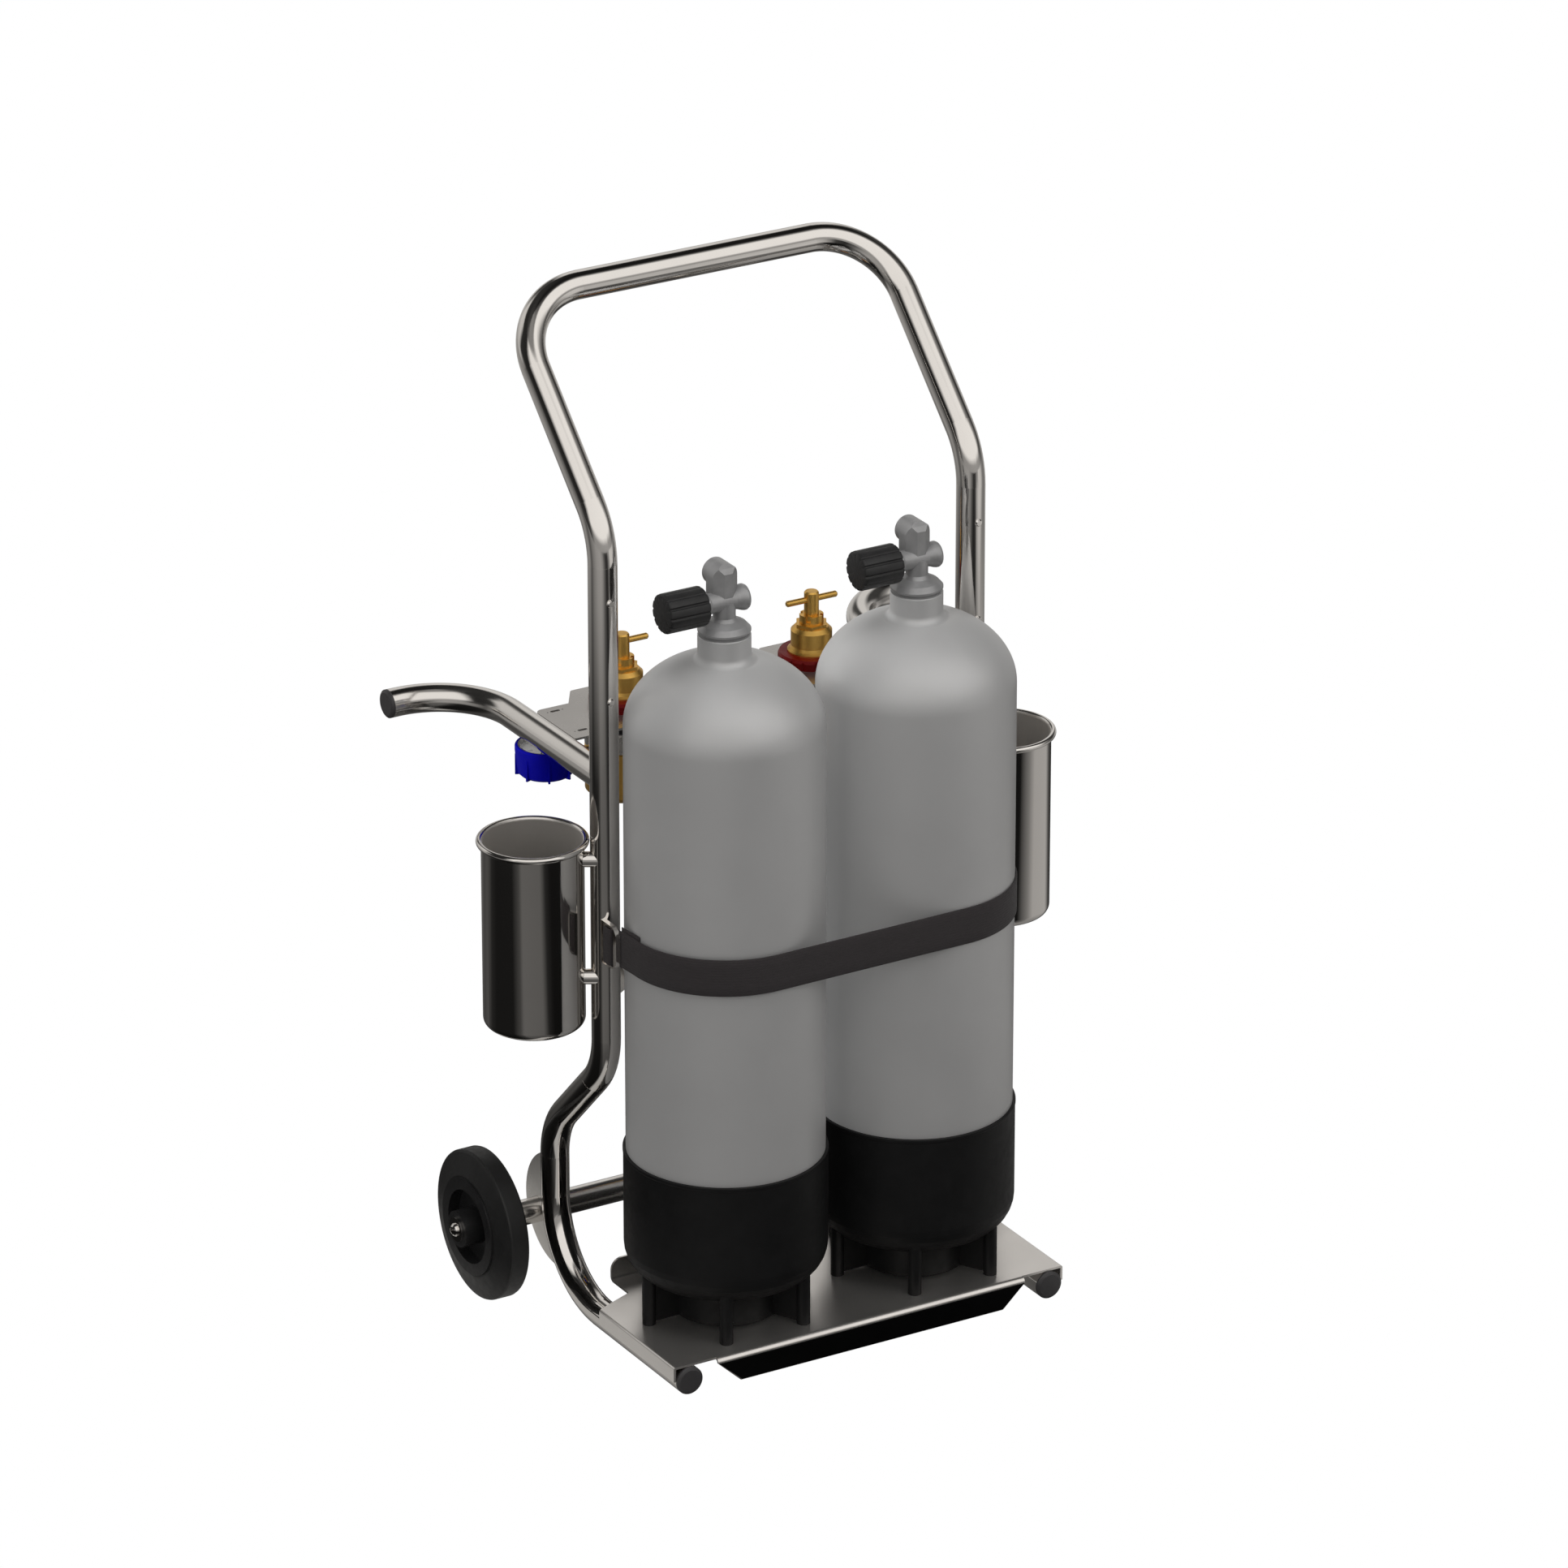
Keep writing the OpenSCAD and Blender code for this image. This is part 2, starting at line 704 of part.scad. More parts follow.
// Two short studs hold each cup against its upright
module cup_studs() {
  color("silver") placed() both_sides() difference() {
    for (z = [stud_low_z, stud_high_z]) translate([tube_x, upright_y, z])
      rotate([0, 0, cup_angle]) translate([0, -stud_front, 0]) rotate([0, 90, 0])
        cylinder(d = stud_d, h = cup_offset);
    translate([tube_x, upright_y, cup_z]) cylinder(r = tube_r + weld_gap, h = cup_h);
    translate([cup_x, cup_y, cup_z - cut])
      cylinder(r = cup_r + weld_gap, h = cup_h + 2 * cut);
  }
}

// Slotted lug on each upright, with round front corners
module strap_lugs() {
  color("silver") placed() both_sides() difference() {
    translate([lug_x, 0, strap_z]) upright_plane() linear_extrude(lug_t) difference() {
      hull() {
        translate([upright_y - cut, -lug_h / 2]) square([cut, lug_h]);
        for (up = [-1, 1]) translate([lug_front + lug_round, up * (lug_h / 2 - lug_round)])
          circle(r = lug_round);
      }
      translate([lug_front + lug_bar, -strap_w / 2 - soft_gap])
        square([slot_w, strap_w + 2 * soft_gap]);
    }
    translate([tube_x, upright_y, strap_z - lug_h])
      cylinder(r = tube_r + weld_gap, h = 2 * lug_h);
  }
}

// Plan of one end of the strap: the arc round a cylinder, the run back to the lug and the
// loop round its bar
module strap_end(strap_in) {
  strap_out = strap_in + strap_t;
  bar_in = lug_x - soft_gap;
  bar_out = lug_x + lug_t + soft_gap;
  loop_front = lug_front - soft_gap;
  loop_back = lug_front + lug_bar + soft_gap;
  difference() {
    translate([axis_x, 0]) circle(r = strap_out, $fn = 96);
    translate([axis_x, 0]) circle(r = strap_in, $fn = 96);
    translate([axis_x - 2 * strap_out, -2 * strap_out]) square([2 * strap_out, 4 * strap_out]);
    translate([0, 0]) square([axis_x + 2 * strap_out, 2 * strap_out]);
  }
  polygon([
    [axis_x + strap_in, 0], [axis_x + strap_out, 0], [bar_in, loop_front + strap_t],
    [bar_in - strap_t, loop_front + strap_t]
  ]);
  difference() {
    hull() for (x = [bar_in, bar_out], y = [loop_front, loop_back])
      translate([x, y]) circle(r = strap_t);
    translate([bar_in, loop_front]) square([bar_out - bar_in, loop_back - loop_front]);
  }
}

module strap() {
  color([0.13, 0.13, 0.14]) placed() translate([0, 0, strap_z - strap_w / 2])
    linear_extrude(strap_w) {
      strap_end(strap_in_right);
      mirror([1, 0]) strap_end(strap_in_left);
      polygon([
        [-axis_x, -strap_in_left - strap_t], [axis_x, -strap_in_right - strap_t],
        [axis_x, -strap_in_right], [-axis_x, -strap_in_left]
      ]);
    }
}

// The strap's end comes back inside, against the left cylinder
module strap_tail() {
  arc = 180 * tail_len / (PI * cylinder_r);
  color([0.13, 0.13, 0.14]) placed()
    translate([-axis_x, 0, strap_z - strap_w / 2 + tail_rise]) linear_extrude(strap_w)
      intersection() {
        difference() {
          circle(r = strap_in_left - soft_gap, $fn = 96);
          circle(r = cylinder_r + soft_gap, $fn = 96);
        }
        polygon([
          [0, 0], [-2 * cylinder_r, 0],
          2 * cylinder_r * [-cos(arc / 2), -sin(arc / 2)], 2 * cylinder_r * [-cos(arc), -sin(arc)]
        ]);
      }
}

// A folded band behind the cylinders, its ends on the uprights
module back_rest() {
  color("silver") placed() difference() {
    translate([0, 0, rest_z - rest_w / 2]) linear_extrude(rest_w) polygon([
      [-rest_end[0], rest_end[1]], [-rest_bend_x, rest_y], [rest_bend_x, rest_y],
      [rest_end[0], rest_end[1]], [rest_end[0], rest_end[1] + rest_t],
      [rest_bend_x, rest_y + rest_t], [-rest_bend_x, rest_y + rest_t],
      [-rest_end[0], rest_end[1] + rest_t]
    ]);
    both_sides() translate([tube_x, upright_y, rest_z - rest_w])
      cylinder(r = tube_r + weld_gap, h = 2 * rest_w);
  }
}

// Plan of the shelf: a plate between the arms with a tab behind each regulator
module shelf_outline() {
  difference() {
    union() {
      hull() for (x = [-1, 1]) {
        translate([x * (shelf_half - shelf_round), shelf_rear - shelf_round]) circle(r = shelf_round);
        translate([x * (shelf_half - shelf_round / 2), shelf_front])
          translate([-shelf_round / 2, 0]) square([shelf_round, shelf_round]);
      }
      for (side = [-1, 1]) translate([side * axis_x, shelf_rear]) hull() {
        translate([-tab_w / 2 - tab_flare, -cut]) square([tab_w + 2 * tab_flare, cut]);
        for (x = [-1, 1]) translate([x * (tab_w / 2 - tab_round / 2), tab_reach - tab_round])
          circle(r = tab_round);
      }
    }
    for (side = [-1, 1]) {
      translate([side * axis_x, regulator_y]) circle(d = panel_hole_d);
      for (y = shelf_slot_ys) translate([side * shelf_slot_x, y]) {
        hull() for (end = [-1, 1]) translate([end * (shelf_slot_len - shelf_slot_w) / 2, 0])
          circle(d = shelf_slot_w);
        for (end = [-1, 1]) translate([end * (shelf_slot_len / 2 + 2 * pin_hole_d), 0])
          circle(d = pin_hole_d, $fn = 12);
      }
    }
  }
}

module shelf_plate() {
  color("lightgrey") placed() translate([0, 0, shelf_z - shelf_t])
    linear_extrude(shelf_t) shelf_outline();
}

module frame_screws() {
  color("silver") placed() both_sides() for (z = screw_heights)
    translate([tube_x, upright_y - tube_r, z]) rotate([90, 0, 0]) {
      translate([0, 0, -3 * tube_wall]) cylinder(d = frame_screw_d, h = 3 * tube_wall + weld_gap);
      translate([0, 0, weld_gap]) rotate_extrude() polygon([
        [0, 0], [frame_screw_head_d / 2, 0], [frame_screw_head_d / 2, frame_screw_head_h / 3],
        [frame_screw_head_d / 3, frame_screw_head_h], [0, frame_screw_head_h]
      ]);
    }
}

// Wheel centre, along +Z from its inner side: web, hub, recess and the standing ring
module wheel_centre() {
  web_z = wheel_w - recess_depth;
  inner_recess = wheel_w - recess_depth - 8;
  rim_r = rim_d / 2;
  difference() {
    union() {
      translate([0, 0, tyre_shoulder / 4]) cylinder(r = rim_r, h = wheel_w - tyre_shoulder / 4);
      translate([0, 0, -hub_inner]) cylinder(d = hub_d, h = wheel_w + hub_inner + hub_out);
    }
    translate([0, 0, web_z]) ring_cut(recess_d / 2, hub_d / 2, recess_depth + cut);
    translate([0, 0, -cut]) ring_cut(recess_d / 2, hub_d / 2, inner_recess + cut);
    translate([0, 0, -hub_inner - cut])
      cylinder(r = stub_d / 2 + run_fit, h = wheel_w + hub_inner + hub_out + 2 * cut);
  }
}

module ring_cut(outer, inner, h) {
  difference() {
    cylinder(r = outer, h = h);
    translate([0, 0, -cut]) cylinder(r = inner, h = h + 2 * cut);
  }
}

module tyre() {
  r = wheel_d / 2;
  in_r = rim_d / 2 + weld_gap;
  side_r = in_r + shoulder_drop;
  edge = r - tread_round;
  rotate_extrude() polygon([
    [in_r, tyre_shoulder / 4], [side_r, tyre_shoulder / 4], [edge, tyre_shoulder],
    [r - tread_round / 4, tyre_shoulder + tread_round / 3], [r, tyre_shoulder + tread_round],
    [r, tyre_shoulder + tread_w - tread_round],
    [r - tread_round / 4, tyre_shoulder + tread_w - tread_round / 3],
    [edge, tyre_shoulder + tread_w], [side_r, wheel_w - tyre_shoulder / 4],
    [in_r, wheel_w - tyre_shoulder / 4]
  ]);
}

module at_wheel() {
  placed() translate([wheel_in_x, axle_y, axle_z]) rotate([0, 90, 0]) children();
}

module wheel_left() { color([0.1, 0.1, 0.1]) mirror([1, 0, 0]) at_wheel() wheel_centre(); }

module wheel_right() { color([0.1, 0.1, 0.1]) at_wheel() wheel_centre(); }

module tyre_left() { color([0.12, 0.12, 0.12]) mirror([1, 0, 0]) at_wheel() tyre(); }

module tyre_right() { color([0.12, 0.12, 0.12]) at_wheel() tyre(); }

module wheel_washers() {
  color("silver") both_sides() at_wheel() translate([0, 0, wheel_w + hub_out + seat_gap])
    difference() {
      cylinder(d = washer_d, h = washer_t);
      translate([0, 0, -cut]) cylinder(r = bolt_d / 2 + run_fit, h = washer_t + 2 * cut);
    }
}

// Round-headed bolt with a hexagon socket
module wheel_bolts() {
  color("silver") both_sides() at_wheel() translate([0, 0, wheel_w + hub_out + seat_gap + washer_t])
    difference() {
      union() {
        translate([0, 0, -stub_plug + 2 * cut]) cylinder(d = bolt_d, h = stub_plug - 2 * cut);
        rotate_extrude() polygon([
          [0, 0], [bolt_head_d / 2, 0], [bolt_head_d / 2, bolt_head_h / 4],
          [0.43 * bolt_head_d, 0.6 * bolt_head_h], [0.3 * bolt_head_d, 0.92 * bolt_head_h],
          [bolt_head_d / 5, bolt_head_h], [0, bolt_head_h]
        ]);
      }
      translate([0, 0, bolt_head_h / 3]) cylinder(d = 0.44 * bolt_head_d, h = bolt_head_h, $fn = 6);
    }
}

// Points of a quarter ellipse with half axes a and b, from angle p to angle q
function quarter(a, b, p, q, n = 12) =
  [for (i = [0 : n]) let (t = p + (q - p) * i / n) [a * cos(t), b * sin(t)]];

function raised(points, z) = [for (p = points) [p[0], p[1] + z]];

// The cylinder's wall: domed base, straight side, domed shoulder and bored neck
module shell() {
  crown = cylinder_h - neck_h - shoulder_h;
  start = acos((neck_r + neck_fillet) / cylinder_r);
  fillet_z = crown + shoulder_h * sin(start) + neck_fillet;
  inner_r = cylinder_r - cylinder_wall;
  inner_start = acos(bore_r / inner_r);
  color([0.62, 0.62, 0.62]) rotate_extrude($fn = 96) polygon(concat(
    raised(quarter(cylinder_r, base_dome_h, -90, 0), base_dome_h),
    raised(quarter(cylinder_r, shoulder_h, 0, start), crown),
    [for (p = quarter(neck_fillet, neck_fillet, 260, 180, 6))
      [neck_r + neck_fillet + p[0], fillet_z + p[1]]],
    [[neck_r, cylinder_h], [bore_r, cylinder_h]],
    raised(quarter(inner_r, shoulder_h - cylinder_wall, inner_start, 0), crown),
    raised(quarter(inner_r, base_dome_h - cylinder_wall, 0, -90), base_dome_h)
  ));
}

module shell_left() { placed() translate([-axis_x, 0, shell_z]) shell(); }

module shell_right() { placed() translate([axis_x, 0, shell_z]) shell(); }

// The boot: a deep cup with a round lower edge, on a ring, webs and feet
module boot() {
  in_r = cylinder_r + boot_fit;
  floor_z = boot_lift;
  gap_z = boot_lift + boot_floor;
  rim_h = 4;
  rim_out = 0.2 * boot_wall;
  foot_reach = boot_r - foot_inset;
  foot_top = gap_z + boot_round / 4;
  lower = concat(
    [[0, floor_z]],
    [for (p = quarter(boot_round, boot_round, -90, 0, 8))
      [boot_r - boot_round + p[0], floor_z + boot_round + p[1]]]);
  upper = [
    [boot_r, boot_h - rim_h], [boot_r + rim_out, boot_h - 0.8 * rim_h],
    [boot_r + rim_out, boot_h - rim_out], [boot_r, boot_h], [in_r, boot_h]
  ];
  hollow = raised(quarter(in_r, base_dome_h + boot_fit, 0, -90, 12), gap_z + base_dome_h);
  color([0.08, 0.08, 0.08]) difference() {
    union() {
      rotate_extrude($fn = 96) polygon(concat(lower, upper, hollow));
      difference() {
        translate([0, 0, boot_web / 2]) cylinder(d = boot_ring_d, h = floor_z + cut - boot_web / 2);
        translate([0, 0, -cut]) cylinder(d = boot_ring_d - 2 * boot_web, h = floor_z + cut);
      }
      for (i = [0 : boot_feet - 1]) rotate([0, 0, 360 * i / boot_feet]) {
        translate([foot_reach, 0, 0]) rotate_extrude() polygon(concat(
          [[0, 0], [foot_d / 2, 0]],
          raised(quarter(foot_d / 2, foot_d / 2, 0, 90, 5), foot_top)));
        translate([boot_ring_d / 2 - boot_web / 2, -boot_web / 2, boot_web / 2])
          cube([foot_reach - boot_ring_d / 2, boot_web, boot_lift - boot_web / 2 + boot_floor / 2]);
      }
    }
    // the room for the cylinder stays clear of the feet
    translate([0, 0, gap_z]) rotate_extrude($fn = 96)
      polygon(concat([[0, boot_h]], [[in_r, boot_h]],
        raised(quarter(in_r, base_dome_h + boot_fit, 0, -90, 12), base_dome_h)));
  }
}

module boot_left() { placed() translate([-axis_x, 0, boot_z]) boot(); }

module boot_right() { placed() translate([axis_x, 0, boot_z]) boot(); }

// Cast valve: flange, stem, waisted barrel, faceted body under an arch, and the outlet boss
module valve() {
  flange_r = neck_r;
  undercut = 2.6;
  cone_h = 10;
  stem_r = valve_stem_d / 2;
  outlet_z = valve_h - outlet_d / 2;
  half = valve_w / 2;
  color([0.55, 0.55, 0.55]) difference() {
    union() {
      rotate_extrude() polygon([
        [0, -neck_h / 2], [bore_r - run_fit, -neck_h / 2], [bore_r - run_fit, 0],
        [flange_r - undercut, 0], [flange_r - undercut, undercut / 2],
        [flange_r, 1.6 * undercut], [flange_r, flange_h], [0.83 * flange_r, flange_h + cone_h / 2],
        [stem_r + undercut, flange_h + 0.92 * cone_h],
        [stem_r + undercut / 3, flange_h + cone_h + undercut / 2],
        [stem_r, flange_h + cone_h + undercut], [stem_r, barrel_z], [0, barrel_z]
      ]);
      translate([-barrel_len / 2, 0, barrel_z]) rotate([0, 90, 0]) rotate_extrude() polygon([
        [0, 0], [0.42 * barrel_d, 0], [0.42 * barrel_d, 0.06 * barrel_len],
        [0.39 * barrel_d, 0.1 * barrel_len], [0.39 * barrel_d, 0.7 * barrel_len],
        [0.42 * barrel_d, 0.78 * barrel_len], [0.48 * barrel_d, 0.87 * barrel_len],
        [barrel_d / 2, 0.92 * barrel_len], [barrel_d / 2, 0.96 * barrel_len],
        [0.46 * barrel_d, barrel_len], [0, barrel_len]
      ]);
      // the body's plan, its arch from the front and its sloping brow from the side
      intersection() {
        translate([0, 0, barrel_z + barrel_d / 8]) linear_extrude(valve_h) polygon([
          [-half, valve_rear], [-half, -valve_front / 5], [-0.34 * half, -valve_front],
          [0.34 * half, -valve_front], [half, -valve_front / 5], [half, valve_rear]
        ]);
        union() {
          translate([0, -valve_front - cut, outlet_z]) rotate([-90, 0, 0])
            cylinder(r = half, h = valve_front + valve_rear + 2 * cut);
          translate([-half, -valve_front - cut, 0])
            cube([valve_w, valve_front + valve_rear + 2 * cut, outlet_z]);
        }
        translate([-half - cut, 0, 0]) upright_plane() linear_extrude(valve_w + 2 * cut) polygon([
          [-valve_front, 0], [-valve_front, valve_h - 0.32 * valve_w],
          [-0.62 * valve_front, valve_h - 0.14 * valve_w], [-0.1 * valve_front, valve_h],
          [valve_rear, valve_h], [valve_rear, 0]
        ]);
      }
      translate([0, 0, outlet_z]) rotate([-90, 0, 0]) cylinder(d = outlet_d, h = outlet_reach);
    }
    // outlet recess and the spindle's bore
    translate([0, 0, outlet_z]) rotate([-90, 0, 0])
      translate([0, 0, outlet_reach / 2]) cylinder(d = outlet_d / 2, h = outlet_reach);
    translate([-barrel_len / 2 - cut, 0, barrel_z]) rotate([0, 90, 0])
      cylinder(r = spindle_d / 2 + run_fit, h = barrel_len / 3 + cut);
  }
}

module valve_left() { placed() translate([-axis_x, 0, neck_z]) valve(); }

module valve_right() { placed() translate([axis_x, 0, neck_z]) valve(); }

// Places a piece on a valve's knob axis, +Z pointing out of the knob's face
module at_knob(side) {
  placed() translate([side * axis_x - barrel_len / 2, 0, neck_z + barrel_z])
    rotate([0, -90, 0]) children();
}

module spindle() {
  translate([0, 0, -barrel_len / 3 + seat_gap])
    cylinder(d = spindle_d, h = barrel_len / 3 + knob_len / 2);
}

// Notched knob with rounded edges, bored for its spindle
module knob() {
  gap = 1.4;
  r = knob_d / 2;
  edge = 3;
  difference() {
    translate([0, 0, gap]) rotate_extrude() polygon([
      [0, 0], [r - 1.6 * edge, 0], [r - edge / 4, edge], [r, 2 * edge], [r, knob_len - edge],
      [r - edge / 3, knob_len - edge / 4], [r - edge, knob_len], [0, knob_len]
    ]);
    for (i = [0 : knob_flutes - 1]) rotate([0, 0, 360 * i / knob_flutes])
      translate([r + 0.1 * flute_w, 0, 0])
        cylinder(d = flute_w, h = knob_len + gap + cut, $fn = 24);
    cylinder(r = spindle_d / 2 + run_fit, h = knob_len / 2 + seat_gap);
  }
}

module spindle_left() { color("silver") at_knob(-1) spindle(); }

module spindle_right() { color("silver") at_knob(1) spindle(); }

module knob_left() { color([0.07, 0.07, 0.07]) at_knob(-1) knob(); }

module knob_right() { color([0.07, 0.07, 0.07]) at_knob(1) knob(); }

// Places a piece at both regulators, or at one, measured from the shelf's top face
module at_regulators() { placed() both_axes(regulator_y, shelf_z) children(); }

module at_regulator(side) {
  placed() translate([side * axis_x, regulator_y, shelf_z]) children();
}

module panel_rings() {
  r = ring_d / 2;
  color([0.4, 0.01, 0.01]) at_regulators() difference() {
    rotate_extrude() polygon([
      [thread_neck_d / 2 + seat_gap, 0], [r, 0], [r, 0.7 * ring_h], [r - 0.15 * ring_h, ring_h],
      [thread_neck_d / 2 + seat_gap, ring_h]
    ]);
    for (i = [0 : 15]) rotate([0, 0, 22.5 * i]) translate([r + 0.12 * ring_h, 0, -cut])
      cylinder(r = 0.2 * ring_h, h = ring_h + 2 * cut);
  }
}

// Brass bonnet: threaded neck through the shelf, flare, body, bevel and a notched collar
module bonnet() {
  r = bonnet_d / 2;
  difference() {
    union() {
      rotate_extrude() polygon([
        [0, -shelf_t - seal_h], [thread_neck_d / 2, -shelf_t - seal_h],
        [thread_neck_d / 2, ring_h], [flare_d / 2, ring_h], [flare_d / 2, ring_h + flare_h / 2],
        [r + flare_h / 3, ring_h + flare_h], [r, ring_h + 2 * flare_h],
        [r, bonnet_top - bonnet_chamfer], [r - bonnet_chamfer, bonnet_top], [0, bonnet_top]
      ]);
      cylinder(d = collar_d, h = bonnet_top + collar_h);
      // spanner flats between the bevel and the collar
      translate([0, 0, ring_h + 2 * flare_h])
        cylinder(d = 1.42 * collar_d, h = bonnet_top + 0.3 * collar_h - ring_h - 2 * flare_h, $fn = 6);
    }
    for (i = [0 : 3]) rotate([0, 0, 45 + 90 * i])
      translate([screw_d / 2 + 1.5 * cut, -notch_w / 2, bonnet_top + 0.5 * collar_h])
        cube([collar_d, notch_w, collar_h]);
    translate([0, 0, chamber_top - cut])
      cylinder(r = screw_d / 2 + run_fit, h = bonnet_top + collar_h - chamber_top + 2 * cut);
    translate([0, 0, chamber_top - chamber_h]) cylinder(r = button_d / 2 + run_fit, h = chamber_h);
  }
}

module bonnets() { color([0.78, 0.56, 0.2]) at_regulators() bonnet(); }

// Adjusting screw: its tip presses the button in the bonnet
module screw(side) {
  color([0.78, 0.56, 0.2]) at_regulator(side) difference() {
    union() {
      translate([0, 0, chamber_top])
        cylinder(d = screw_d, h = screw_top - chamber_top - screw_d / 10);
      translate([0, 0, screw_top - screw_d / 10])
        cylinder(d1 = screw_d, d2 = 0.84 * screw_d, h = screw_d / 10);
    }
    translate([-screw_d, 0, bar_z]) rotate([0, 90, 0])
      cylinder(r = bar_d / 2 + run_fit, h = 2 * screw_d);
  }
}

module screw_left() { screw(-1); }

module screw_right() { screw(1); }

module cross_bar(side) {
  color([0.78, 0.56, 0.2]) at_regulator(side) translate([0, 0, bar_z]) rotate([0, 90, 0])
    for (end = [0, 1]) mirror([0, 0, end]) rotate_extrude() polygon([
      [0, 0], [bar_d / 2, 0], [bar_d / 2, bar_len / 2 - bar_d / 5],
      [bar_d / 3, bar_len / 2], [0, bar_len / 2]
    ]);
}

module cross_bar_left() { cross_bar(-1); }

module cross_bar_right() { cross_bar(1); }

module button(side) {
  color("silver") at_regulator(side) translate([0, 0, chamber_top - seat_gap - button_t])
    cylinder(d = button_d, h = button_t);
}

module button_left() { button(-1); }

module button_right() { button(1); }

module seal_rings() {
  color([0.07, 0.07, 0.07]) at_regulators() rotate_extrude() polygon([
    [thread_neck_d / 2 + seat_gap, -shelf_t - seal_h], [seal_d / 2, -shelf_t - seal_h],
    [seal_d / 2, -shelf_t - seal_h + seal_lip], [0.4 * seal_d, -shelf_t - seal_h + 1.5 * seal_lip],
    [0.4 * seal_d, -shelf_t], [thread_neck_d / 2 + seat_gap, -shelf_t]
  ]);
}

module steel_bodies() {
  r = body_d / 2;
  bevel = 0.18 * steel_h;
  color("silver") at_regulators() translate([0, 0, body_top - steel_h])
    rotate_extrude() polygon([
      [0, 0], [r, 0], [r, steel_h - bevel], [r - bevel / 2, steel_h], [0, steel_h]
    ]);
}

// Brass lower body with a port boss behind
module brass_bodies() {
  r = body_d / 2;
  bevel = 0.08 * brass_h;
  color([0.78, 0.56, 0.2]) at_regulators() translate([0, 0, body_top - steel_h - brass_h])
    difference() {
      union() {
        rotate_extrude() polygon([
          [0, 0], [r - 1.4 * bevel, 0], [r, 1.4 * bevel], [r, brass_h - bevel / 2],
          [r - bevel / 2, brass_h], [0, brass_h]
        ]);
        translate([0, 0, brass_h / 2]) rotate([-90, 0, 0])
          cylinder(d = port_boss_d, h = r + port_out);
      }
      translate([0, 0, brass_h / 2]) rotate([-90, 0, 0]) translate([0, 0, r - port_out])
        cylinder(d = port_d, h = 3 * port_out);
      translate([-gauge_reach, 0, gauge_axis - body_top + steel_h + brass_h]) rotate([0, 90, 0])
        cylinder(r = stem_d / 2 + run_fit, h = gauge_reach - r / 2);
    }
}

// Places a piece at both gauges, with Z = 0 at the rubber boot's underside
module at_gauges() {
  at_regulators() translate([-gauge_reach, 0, gauge_top - gauge_h]) children();
}

// Shouldered stem from the regulator's body to the gauge
module gauge_stems() {
  start = body_d / 4 + seat_gap;
  end = gauge_reach - gauge_d / 2 + gauge_wall + weld_gap;
  color([0.78, 0.56, 0.2]) at_regulators() translate([-start, 0, gauge_axis]) rotate([0, -90, 0]) {
    cylinder(d = stem_d, h = end - start);
    translate([0, 0, body_d / 2 - start + 2 * weld_gap])
      rotate_extrude() polygon([
        [0, 0], [0.44 * stem_nut, 0], [stem_nut / 2, 0.06 * stem_nut],
        [stem_nut / 2, 0.3 * stem_nut], [0.4 * stem_nut, 0.46 * stem_nut], [0, 0.46 * stem_nut]
      ]);
  }
}

module gauge_boots() {
  r = gauge_d / 2;
  color([0.0, 0.0, 0.55]) at_gauges() difference() {
    union() {
      rotate_extrude() polygon([
        [0, 0], [r - 1.8 * gauge_wall, 0], [r - 0.8 * gauge_wall, gauge_wall],
        [r, gauge_h - 2 * gauge_wall], [r, gauge_h - gauge_wall / 2], [r - gauge_wall / 4, gauge_h],
        [r - gauge_wall, gauge_h], [r - gauge_wall, 1.6 * gauge_wall],
        [r - 1.6 * gauge_wall, gauge_wall], [0, gauge_wall]
      ]);
      intersection() {
        for (i = [0 : gauge_ribs - 1]) rotate([0, 0, 360 * (i + 0.5) / gauge_ribs])
          translate([r - 1.7 * gauge_wall, -gauge_wall / 3, 0])
            cube([1.8 * gauge_wall, 0.66 * gauge_wall, 0.7 * gauge_h]);
        difference() {
          cylinder(r = r, h = gauge_h);
          translate([0, 0, gauge_wall]) cylinder(r = r - 0.95 * gauge_wall, h = gauge_h);
        }
      }
    }
    translate([r / 2, 0, gauge_axis - gauge_top + gauge_h]) rotate([0, 90, 0])
      cylinder(r = stem_d / 2 + run_fit, h = gauge_d);
  }
}

// Open steel case inside the boot
module gauge_cases() {
  r = gauge_d / 2 - gauge_wall - weld_gap;
  color("silver") at_gauges() difference() {
    translate([0, 0, gauge_wall + weld_gap]) rotate_extrude() polygon([
      [0, 0], [r - 0.7 * gauge_wall, 0], [r, 0.7 * gauge_wall],
      [r, gauge_h - gauge_wall - 2 * weld_gap], [0, gauge_h - gauge_wall - 2 * weld_gap]
    ]);
    translate([0, 0, gauge_h - dial_drop - lens_t]) cylinder(r = r - gauge_wall / 2, h = gauge_h);
  }
}

module gauge_dials() {
  color([0.93, 0.93, 0.9]) at_gauges() translate([0, 0, gauge_h - dial_drop - lens_t + weld_gap])
    difference() {
      cylinder(r = gauge_d / 2 - 1.6 * gauge_wall, h = pointer_t);
      translate([0, 0, -cut]) cylinder(r = gauge_wall / 2 + run_fit, h = pointer_t + 2 * cut);
    }
}

module gauge_lenses() {
  color([0.8, 0.9, 0.95, 0.3]) at_gauges() translate([0, 0, gauge_h - lens_t - weld_gap])
    cylinder(r = gauge_d / 2 - 1.55 * gauge_wall, h = lens_t);
}

